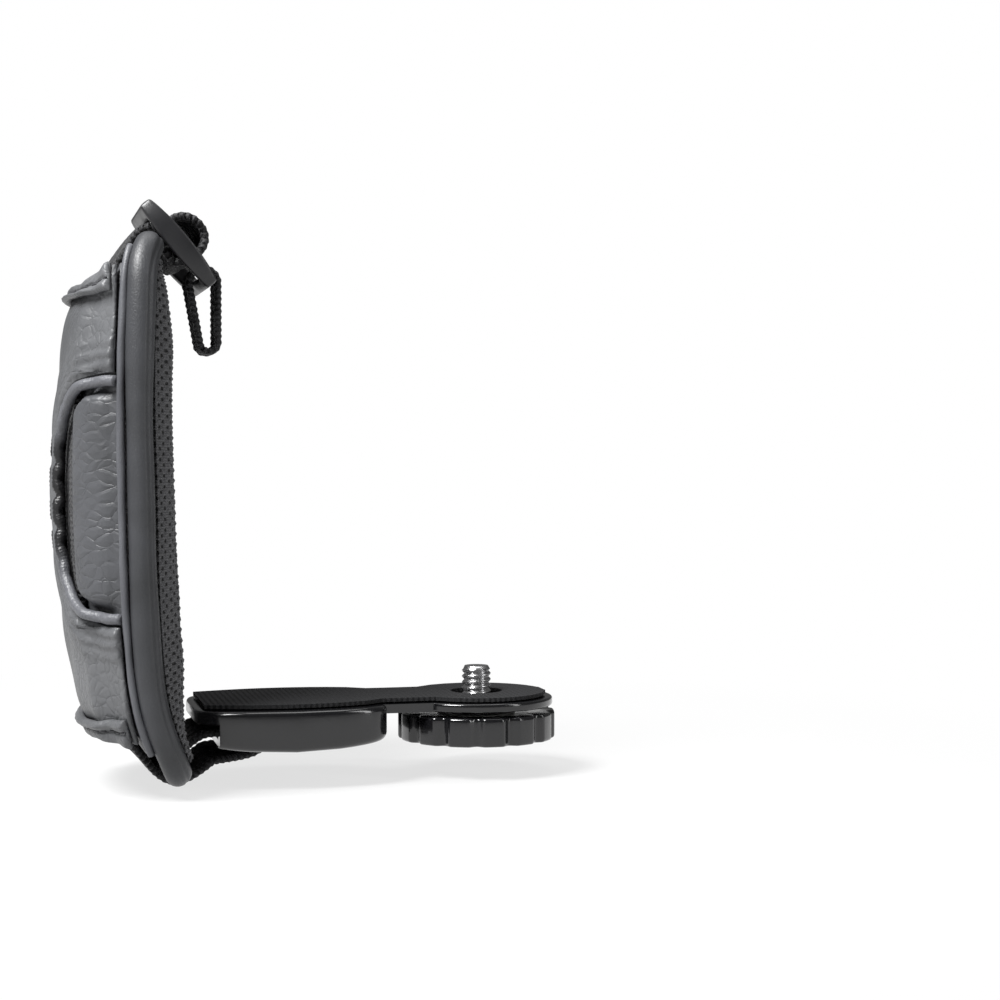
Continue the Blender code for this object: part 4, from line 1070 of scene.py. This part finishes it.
# %% The buckle's own axes
buckle_middle = on_pad(PAD_UPPER_LENGTH, 0.0, 0.0) + np.array([BUCKLE_REACH, 0.0, BUCKLE_RISE])
buckle_along = np.array([math.cos(BUCKLE_ANGLE), 0.0, -math.sin(BUCKLE_ANGLE)])
buckle_out = np.array([math.sin(BUCKLE_ANGLE), 0.0, math.cos(BUCKLE_ANGLE)])


def buckle_point(along, out):
    """A point in the plane of the strap, from its place in the buckle."""
    return buckle_middle + buckle_along * along + buckle_out * out


def plane_point(x, z):
    """A point in the plane of the strap."""
    return np.array([x, 0.0, z])


# %% Make the main webbing
half_bar = BUCKLE_MIDDLE_BAR / 2
slot_middle = half_bar + BUCKLE_SLOT / 2
under = -BUCKLE_THICKNESS / 2 - GAP - WEBBING_THICKNESS / 2
beside_bar = half_bar + GAP * 2 + WEBBING_THICKNESS / 2
near_slot, far_slot = buckle_point(beside_bar, 0.0), buckle_point(-slot_middle, 0.0)
tail = bezier(buckle_point(beside_bar - TAIL_LENGTH, under - 0.0003),
              buckle_point(half_bar * 0.6, under - 0.0006),
              buckle_point(beside_bar, under - 0.0012), near_slot, 20)
hump = bezier(near_slot, buckle_point(slot_middle * 1.3, HUMP_HEIGHT * 1.3),
              buckle_point(-slot_middle * 1.5, HUMP_HEIGHT * 1.35), far_slot, 40)
sleeve_s = np.linspace(COVER_TOP + SLEEVE_END, COVER_BOTTOM - SLEEVE_END, 160)
sleeve = on_pad(sleeve_s, 0.0, WEBBING_LEVEL)
mouth = sleeve[0]
inward = (sleeve[0] - sleeve[1]) / np.linalg.norm(sleeve[0] - sleeve[1])
lead_in = bezier(far_slot, buckle_point(-slot_middle - 0.004, -0.0035), mouth + inward * 0.0115, mouth, 40)
leaving = (sleeve[-1] - sleeve[-2]) / np.linalg.norm(sleeve[-1] - sleeve[-2])
bar_left = BLOCK_LEFT + LIP_LENGTH
bar_top = PLATE_TOP - LIP_THICKNESS - SLOT_HEIGHT
bar_bottom = bar_top - BAR_THICKNESS
turn_x = bar_left + BAR_LENGTH + GAP + WEBBING_THICKNESS / 2
upper_z = bar_top + GAP + WEBBING_THICKNESS / 2
lower_z = bar_bottom - 0.0018 - WEBBING_THICKNESS / 2
low_point = plane_point(bar_left - 0.001, lower_z - 0.0006)
under_run = bezier(sleeve[-1], sleeve[-1] + leaving * 0.0120, low_point - plane_point(0.010, 0.0078),
                   low_point, 60)
turning = plane_point(turn_x, bar_bottom + 0.0004)
under_bar = bezier(low_point, low_point + plane_point(0.006, 0.0008),
                   plane_point(turn_x - 0.0005, lower_z + 0.0004), turning, 30)
over_bar = bezier(turning, plane_point(turn_x + 0.0002, upper_z), plane_point(turn_x - 0.0006, upper_z),
                  plane_point(turn_x - 0.0035, upper_z), 16)
pad_end = on_pad(-PAD_LOWER_LENGTH, HALF_WEBBING, 0.0)
seam = plane_point(pad_end[0] + BINDING_RADIUS + 2 * GAP, pad_end[2] + 0.0015)
back_out = bezier(over_bar[-1], plane_point(bar_left - 0.003, upper_z), seam + plane_point(0.004, 0.0030),
                  seam, 30)
before = np.concatenate([tail, hump[1:], lead_in[1:-1]])
after = np.concatenate([under_run[1:], under_bar[1:], over_bar[1:], back_out[1:]])
path = np.concatenate([before, sleeve, after])
held = len(before) + len(sleeve)
number = np.arange(len(path))
arching = np.minimum(smooth((number - len(before) + 27) / 27), smooth((held + 21 - number) / 26))
arching = arching * arch_share(sleeve_s[np.clip(number - len(before), 0, len(sleeve) - 1)])
mesh = band_mesh("main_webbing_band", path, arching, WEBBING_WIDTH, WEBBING_THICKNESS, 0.0004, False, 0.0018)
main_band = add_piece("main_webbing_band", mesh, weave)
dress(main_band, "main_webbing")
print("webbing triangles", len(mesh.polygons) * 2)

# %% Make the lug loop
bar = buckle_point(BUCKLE_MIDDLE_BAR / 2 + BUCKLE_SLOT + BUCKLE_LUG_BAR / 2, 0.0)
foot = bar + np.array([-math.sin(LUG_LOOP_TILT), 0.0, -math.cos(LUG_LOOP_TILT)]) * LUG_LOOP_LENGTH


def arc(centre, radius, start, end):
    """Points of one of the loop's bends, angles in radians from +X towards +Z."""
    angle = np.linspace(start, end, 40)[:, None]
    return centre + radius * (np.cos(angle) * plane_point(1, 0) + np.sin(angle) * plane_point(0, 1))


loop_path = np.concatenate([arc(bar, LUG_LOOP_RADIUS, math.pi - LUG_LOOP_TILT, -LUG_LOOP_TILT),
                            arc(foot, LUG_FOOT_RADIUS, -LUG_LOOP_TILT, -math.pi - LUG_LOOP_TILT)])
mesh = band_mesh("lug_webbing_loop", loop_path, np.zeros(len(loop_path)), LUG_WEBBING_WIDTH,
                 LUG_WEBBING_THICKNESS, 0.0003, True, 0.0022)
lug_loop = add_piece("lug_webbing_loop", mesh, weave)
dress(lug_loop, "lug_webbing")

# %% [markdown]
# ## The buckle
# A slide buckle is one moulding: two spindle-shaped rails and three bars. It is drawn as a cage of
# quads with its two slots left open, given its thickness, and rounded by subdivision, as a moulding
# has no sharp edge.

# %% Make the buckle
slot_half = HALF_WEBBING + SIDE_CLEARANCE
rail_half = slot_half + BUCKLE_RAIL
x_lines = np.array([-half_bar - BUCKLE_SLOT - BUCKLE_END_BAR, -half_bar - BUCKLE_SLOT,
                    -half_bar - BUCKLE_SLOT / 2, -half_bar, half_bar, half_bar + BUCKLE_SLOT / 2,
                    half_bar + BUCKLE_SLOT, half_bar + BUCKLE_SLOT + BUCKLE_LUG_BAR])
y_lines = np.array([-rail_half, -slot_half, -slot_half / 2, 0.0, slot_half / 2, slot_half, rail_half])
open_cells = {(i, j) for i in (1, 2, 4, 5) for j in (1, 2, 3, 4)}
middle_x, half_x = (x_lines[0] + x_lines[-1]) / 2, (x_lines[-1] - x_lines[0]) / 2
cage, levels = [], (1.0, -1.0)
for level in levels:
    for x in x_lines:
        for y in y_lines:
            on_rail = 1.0 if abs(y) > slot_half * 0.99 else 0.0
            share = (x - middle_x) / half_x
            swell = 1.0 if abs(y) > slot_half * 1.01 else 0.35 * on_rail
            height = BUCKLE_THICKNESS / 2 + BUCKLE_BULGE / 2 * (1.0 - share ** 2) * swell
            narrow = 1.0 - 0.10 * abs(share) ** 3
            point = buckle_middle + buckle_along * x + buckle_out * height * level
            cage.append((point[0], y * narrow, point[2]))
across = len(y_lines)
layer = len(x_lines) * across
faces = []
for i in range(len(x_lines) - 1):
    for j in range(across - 1):
        if (i, j) in open_cells:
            continue
        a, b, c, d = i * across + j, (i + 1) * across + j, (i + 1) * across + j + 1, i * across + j + 1
        faces.append((a, b, c, d))
        faces.append((a + layer, d + layer, c + layer, b + layer))
        sides = ((a, b), (i, j - 1)), ((b, c), (i + 1, j)), ((c, d), (i, j + 1)), ((d, a), (i - 1, j))
        for (p, q), neighbour in sides:
            outside = not (0 <= neighbour[0] < len(x_lines) - 1 and 0 <= neighbour[1] < across - 1)
            if outside or neighbour in open_cells:
                faces.append((q, p, p + layer, q + layer))
mesh = bpy.data.meshes.new("slide_buckle")
mesh.from_pydata(cage, [], faces)
mesh.uv_layers.new(name="cloth")
buckle = add_piece("slide_buckle", mesh, acetal)
ease = buckle.modifiers.new("eased edges", "BEVEL")
ease.width = 0.0007
ease.segments = 2
ease.limit_method = "ANGLE"
ease.angle_limit = math.radians(40)
divide = buckle.modifiers.new("moulded curves", "SUBSURF")
divide.levels = divide.render_levels = 2
settle(buckle)
dress(buckle, "buckle")
print("buckle triangles", len(buckle.data.polygons) * 2)

# %% [markdown]
# ## The base plate
# The plate is polished ABS: a bulged block with a slot for the webbing, a thin arm and a round end for
# the screw. The block is swept from rounded rings, and the arm, slot and holes are added and cut with
# exact booleans, which keep its polished faces smooth.

# %% Solids for joining and cutting


def plain_object(name, mesh):
    """A helper solid that only a boolean uses."""
    item = bpy.data.objects.new(name, mesh)
    bpy.context.scene.collection.objects.link(item)
    return item


def cut_box(name, low, high):
    """A box between two corners."""
    corners = [(x, y, z) for x in (low[0], high[0]) for y in (low[1], high[1]) for z in (low[2], high[2])]
    faces = [(0, 1, 3, 2), (4, 6, 7, 5), (0, 4, 5, 1), (2, 3, 7, 6), (0, 2, 6, 4), (1, 5, 7, 3)]
    mesh = bpy.data.meshes.new(name)
    mesh.from_pydata(corners, [], faces)
    return plain_object(name, mesh)


def rounded_disc(name, radius, low, high, ease, segments=128):
    """An upright disc on the screw's axis, with eased edges."""
    turn = np.linspace(0.0, 2 * math.pi, segments, endpoint=False)
    bend = np.linspace(0.0, math.pi / 2, 5)
    rings = [(radius - ease + ease * math.sin(a), low + ease - ease * math.cos(a)) for a in bend]
    rings += [(radius - ease + ease * math.cos(a), high - ease + ease * math.sin(a)) for a in bend]
    points = np.array([[(SCREW_X + r * math.cos(a), r * math.sin(a), z) for a in turn] for r, z in rings])
    return plain_object(name, grid_mesh(name, points, points[:, :, :2] / MM))


def combine(piece, other, operation):
    """Joins or cuts a piece by a helper solid, and removes the helper."""
    step = piece.modifiers.new(other.name, "BOOLEAN")
    step.operation = operation
    step.object = other
    step.solver = "EXACT"
    settle(piece)
    bpy.data.objects.remove(other, do_unlink=True)


# %% Make the plate


def block_half_width(x):
    """Half the block's width at x, bulged in its middle."""
    share = (x - BLOCK_LEFT) / (BLOCK_RIGHT - BLOCK_LEFT)
    return BLOCK_END_HALF_WIDTH + BLOCK_BULGE * math.sin(math.pi * share)


block_middle, block_half = (BLOCK_LEFT + BLOCK_RIGHT) / 2, (BLOCK_RIGHT - BLOCK_LEFT) / 2
outline = []
for turn in np.linspace(0.0, 2 * math.pi, 180, endpoint=False):
    c, s = math.cos(turn), math.sin(turn)
    along = math.copysign(abs(c) ** 0.22, c)
    x = block_middle + block_half * along
    outline.append((x, block_half_width(x) * math.copysign(abs(s) ** 0.22, s)))
outline = np.array(outline)
centre = np.array([block_middle, 0.0])
EASE = 0.0010
rings = []
bend = np.linspace(0.0, math.pi / 2, 6)
for a in bend:
    inset = EASE * (1.0 - math.sin(a))
    rings.append((inset, PLATE_TOP - EASE * (1.0 - math.cos(a)), 0.0))
for a in bend[::-1]:
    inset = EASE * 1.6 * (1.0 - math.sin(a))
    rings.append((inset, PLATE_TOP - BLOCK_END_DEPTH + EASE * 1.6 * (1.0 - math.cos(a)), 1.0))
rows = []
spokes = outline - centre
spoke_length = np.maximum(np.linalg.norm(spokes, axis=1), 1e-6)
for inset, height, lower in rings:
    pulled = centre + spokes * (1.0 - inset / spoke_length)[:, None]
    share = (pulled[:, 0] - block_middle) / block_half
    belly = BLOCK_BELLY * (1.0 - share ** 2) * lower
    rows.append(np.column_stack([pulled, height - belly]))
for shrink in np.linspace(0.85, 0.05, 12):
    pulled = centre + spokes * shrink * (1.0 - EASE * 1.6 / 0.02)
    share = (pulled[:, 0] - block_middle) / block_half
    rows.append(np.column_stack([pulled, PLATE_TOP - BLOCK_END_DEPTH - BLOCK_BELLY * (1.0 - share ** 2)]))
points = np.array(rows)
mesh = grid_mesh("base_plate_moulding", points, points[:, :, :2] / MM)
plate = add_piece("base_plate_moulding", mesh, gloss_abs)
arm_low, arm_high = (BLOCK_RIGHT - 0.004, -ARM_HALF_WIDTH, PLATE_BOTTOM), (SCREW_X, ARM_HALF_WIDTH, PLATE_TOP)
combine(plate, cut_box("arm", arm_low, arm_high), "UNION")
combine(plate, rounded_disc("disc", DISC_RADIUS, PLATE_BOTTOM, PLATE_TOP, 0.0005), "UNION")
half_slot = HALF_WEBBING + SIDE_CLEARANCE
slot_top = PLATE_TOP - LIP_THICKNESS
beyond, below, bar_end = BLOCK_LEFT - 0.005, -0.02, bar_left + BAR_LENGTH
for name, low, high in (
    ("lip_cut", (beyond, -0.03, below), (bar_left, 0.03, slot_top)),
    ("webbing_slot", (beyond, -half_slot, slot_top - SLOT_HEIGHT),
     (bar_end + SLOT_MOUTH, half_slot, slot_top)),
    ("bar_underside", (beyond, -half_slot, below),
     (bar_end + SLOT_MOUTH / 2, half_slot, slot_top - SLOT_HEIGHT - BAR_THICKNESS)),
    ("slot_mouth", (bar_end, -half_slot, below), (bar_end + SLOT_MOUTH, half_slot, slot_top - 0.0001)),
):
    combine(plate, cut_box(name, low, high), "DIFFERENCE")
for name, radius, low in (("screw_hole", THREAD_RADIUS + GAP, PLATE_BOTTOM - 0.002),
                          ("clip_recess", CLIP_RADIUS + GAP, PLATE_TOP - CLIP_THICKNESS - GAP)):
    combine(plate, rounded_disc(name, radius, low, PLATE_TOP + 0.002, 0.0001, 64), "DIFFERENCE")
plate.data.shade_smooth()
plate.data.set_sharp_from_angle(angle=math.radians(35))
dress(plate, "base_plate")
print("plate triangles", len(plate.data.polygons) * 2)

# %% [markdown]
# ## Turned pieces
# The wheel, the stud and its socket are round the screw's axis, so each is a profile turned in rings.
# The wheel's flutes and the stud's thread are changes of radius with the angle: the thread's depth
# also moves with the height, which makes it a helix.

# %% Turn a profile in rings


def turned(name, profile, segments, radius_change=None):
    """A closed ring about the screw's axis; radius_change(radius, height, angle) shifts each point."""
    profile = np.array(profile)
    angle = np.linspace(0.0, 2 * math.pi, segments, endpoint=False)
    radius = np.repeat(profile[None, :, 0], segments, axis=0)
    height = np.repeat(profile[None, :, 1], segments, axis=0)
    if radius_change is not None:
        radius = radius + radius_change(radius, height, angle[:, None])
    across, along = radius * np.cos(angle)[:, None], radius * np.sin(angle)[:, None]
    points = np.stack([SCREW_X + across, along, height], axis=-1)
    return grid_mesh(name, points, points[:, :, :2] / MM, round_rows=True)


def eased(corners, ease, steps=4):
    """A closed profile with each corner rounded by its own small radius."""
    made = []
    count = len(corners)
    for k, corner in enumerate(corners):
        corner = np.array(corner)
        before, after = np.array(corners[k - 1]) - corner, np.array(corners[(k + 1) % count]) - corner
        reach = min(ease, np.linalg.norm(before) * 0.45, np.linalg.norm(after) * 0.45)
        first = corner + before / np.linalg.norm(before) * reach
        last = corner + after / np.linalg.norm(after) * reach
        for step in np.linspace(0.0, 1.0, steps + 1):
            made.append(first * (1 - step) ** 2 + 2 * corner * step * (1 - step) + last * step ** 2)
    return np.array(made)


# %% Make the wheel, its socket and the stud
seat_depth = FLANGE_THICKNESS + 2 * GAP
wheel_corners = [
    (WASHER_RADIUS + 0.004, WHEEL_TOP), (WHEEL_RADIUS, WHEEL_TOP), (WHEEL_RADIUS, WHEEL_BOTTOM),
    (WHEEL_RADIUS - 0.0034, WHEEL_BOTTOM), (WHEEL_RADIUS - 0.0044, WHEEL_BOTTOM + 0.001),
    (INSERT_RADIUS + 0.0030, WHEEL_BOTTOM + 0.001), (INSERT_RADIUS + 0.0022, WHEEL_BOTTOM),
    (INSERT_RADIUS + GAP, WHEEL_BOTTOM), (INSERT_RADIUS + GAP, WHEEL_TOP - seat_depth),
    (FLANGE_RADIUS + GAP, WHEEL_TOP - seat_depth), (FLANGE_RADIUS + GAP, WHEEL_TOP),
]


def flutes(radius, height, angle):
    """The finger grooves round the wheel, which fade in towards its faces."""
    groove = np.maximum(0.0, np.cos(WHEEL_FLUTES * angle)) ** 1.5
    return -FLUTE_DEPTH * groove * smooth((radius - WHEEL_RADIUS + 0.0022) / 0.0012)


mesh = turned("thumbwheel_moulding", eased(wheel_corners, 0.0008), WHEEL_FLUTES * 20, flutes)
wheel = add_piece("thumbwheel_moulding", mesh, gloss_abs)
wheel.data.set_sharp_from_angle(angle=math.radians(40))
dress(wheel, "thumbwheel", body="wheel")

stud_top = WHEEL_TOP - GAP
stud_heights = np.arange(stud_top + 0.0002, THREAD_RISE - 0.0007, THREAD_PITCH / 12)
stud_profile = [(0.00005, stud_top - FLANGE_THICKNESS), (FLANGE_RADIUS, stud_top - FLANGE_THICKNESS),
                (FLANGE_RADIUS, stud_top), (THREAD_RADIUS, stud_top)]
stud_profile += [(THREAD_RADIUS, z) for z in stud_heights]
stud_profile += [(THREAD_RADIUS - 0.0006, THREAD_RISE), (0.00005, THREAD_RISE)]


def thread_helix(radius, height, angle):
    """The thread's depth: a V that climbs one pitch a turn, and runs out at the flange."""
    phase = np.mod(height / THREAD_PITCH - angle / (2 * math.pi), 1.0)
    depth = 0.00055 * (1.0 - np.minimum(1.0, abs(phase - 0.5) * 2.3))
    on_thread = (abs(radius - THREAD_RADIUS) < 1e-6) * smooth((height - stud_top) / 0.0012)
    return -depth * on_thread


stud = add_piece("tripod_stud", turned("tripod_stud", stud_profile, 72, thread_helix), steel)
stud.data.set_sharp_from_angle(angle=math.radians(50))
dress(stud, "tripod_screw", body="wheel")

insert_top = WHEEL_TOP - 2 * GAP - FLANGE_THICKNESS
insert_profile = [(INSERT_RADIUS, insert_top), (INSERT_RADIUS, WHEEL_BOTTOM),
                  (SOCKET_RADIUS + 0.0005, WHEEL_BOTTOM)]
wall = np.arange(WHEEL_BOTTOM + 0.0005, insert_top, THREAD_PITCH / 10)
insert_profile += [*((SOCKET_RADIUS, z) for z in wall), (SOCKET_RADIUS, insert_top)]


def socket_helix(radius, height, angle):
    """The socket's thread, cut outwards into its wall."""
    phase = np.mod(height / THREAD_PITCH - angle / (2 * math.pi), 1.0)
    on_wall = abs(radius - SOCKET_RADIUS) < 1e-6
    return 0.00045 * (1.0 - np.minimum(1.0, abs(phase - 0.5) * 2.3)) * on_wall


mesh = turned("tripod_socket_insert", insert_profile, 72, socket_helix)
socket = add_piece("tripod_socket_insert", mesh, steel)
socket.data.set_sharp_from_angle(angle=math.radians(50))
dress(socket, "socket_insert", body="wheel")

# %% [markdown]
# ## Solids that keep their own shape
# The rubber seat, the nylon washer and the spring clip are plain in real life, so their solids stay and
# only take their finishes.

# %% Finish the seat, the washer and the clip
for node, finish in (("seat_pad", rubber), ("wheel_washer", nylon), ("retaining_clip", steel)):
    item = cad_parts[node]
    item.data.materials.clear()
    item.data.materials.append(finish)
    print(node, finish.name)

# %% [markdown]
# ## Stitches
# A lockstitch shows as short threads, end to end along a line. Geometry Nodes lay one thread at each
# step of the line and turn it along the cloth, so the pitch and the thread's size stay real.

# %% A node tree that lays stitches along a line


def stitch_tree():
    """Curve in, sewn threads out."""
    tree = bpy.data.node_groups.new("stitches along a line", "GeometryNodeTree")
    face = tree.interface
    face.new_socket("Geometry", in_out="INPUT", socket_type="NodeSocketGeometry")
    for name, value in (("Pitch", 0.0024), ("Thread length", 0.0019), ("Thread radius", 0.00024)):
        face.new_socket(name, in_out="INPUT", socket_type="NodeSocketFloat").default_value = value
    face.new_socket("Thread", in_out="INPUT", socket_type="NodeSocketMaterial")
    face.new_socket("Geometry", in_out="OUTPUT", socket_type="NodeSocketGeometry")
    given = add(tree, "NodeGroupInput").outputs
    steps = add(tree, "GeometryNodeResampleCurve", mode="LENGTH",
                at={"Curve": given["Geometry"], "Length": given["Pitch"]})
    grain = add(tree, "GeometryNodeMeshUVSphere", at={"Segments": 8, "Rings": 6, "Radius": 1.0})
    half_length = add(tree, "Math", given["Thread length"], 0.5, operation="MULTIPLY")
    size = add(tree, "CombineXYZ", given["Thread radius"], given["Thread radius"], half_length)
    turn = add(tree, "FunctionNodeAlignRotationToVector", axis="Z",
               at={"Vector": add(tree, "GeometryNodeInputTangent")})
    laid = add(tree, "GeometryNodeInstanceOnPoints",
               at={"Points": steps, "Instance": grain, "Rotation": turn, "Scale": size})
    real = add(tree, "GeometryNodeRealizeInstances", laid)
    painted = add(tree, "GeometryNodeSetMaterial", at={"Geometry": real, "Material": given["Thread"]})
    add(tree, "NodeGroupOutput", painted)
    return tree


stitches = stitch_tree()


def sew(name, lines, pitch, length, radius):
    """Stitches along one or more lines of points, as one plain mesh."""
    curve = bpy.data.curves.new(name + "_line", "CURVE")
    curve.dimensions = "3D"
    for line in lines:
        spline = curve.splines.new("POLY")
        spline.points.add(len(line) - 1)
        spline.points.foreach_set("co", np.column_stack([line, np.ones(len(line))]).ravel())
    carrier = bpy.data.objects.new(name + "_line", curve)
    bpy.context.scene.collection.objects.link(carrier)
    lay = carrier.modifiers.new("stitches", "NODES")
    lay.node_group = stitches
    values = {"Pitch": pitch, "Thread length": length, "Thread radius": radius, "Thread": thread}
    for item in stitches.interface.items_tree:
        if item.in_out == "INPUT" and item.name in values:
            lay[item.identifier] = values[item.name]
    graph = bpy.context.evaluated_depsgraph_get()
    mesh = bpy.data.meshes.new_from_object(carrier.evaluated_get(graph), depsgraph=graph)
    bpy.data.objects.remove(carrier, do_unlink=True)
    mesh.name = name
    piece = bpy.data.objects.new(name, mesh)
    bpy.context.scene.collection.objects.link(piece)
    mesh.shade_smooth()
    dress(piece)
    print(name, "triangles", len(mesh.polygons) * 2)


# %% Sew the bands
band_top = BAND_LIFT + BAND_THICKNESS
band_lines = []
for middle, towards in ((COVER_TOP - BAND_WIDTH / 2, -1.0), (COVER_BOTTOM + BAND_WIDTH / 2, 1.0)):
    line_s = middle + 0.0005 * towards
    reach = float(core_breadth(np.array([line_s]))[0]) - 0.0008
    line_t = np.linspace(-reach, reach, 200)
    band_lines.append(on_pad(np.full(200, line_s), line_t, cover_level(line_t) + band_top - 0.00025))
sew("band_stitches", band_lines, 0.0026, 0.0021, 0.00026)
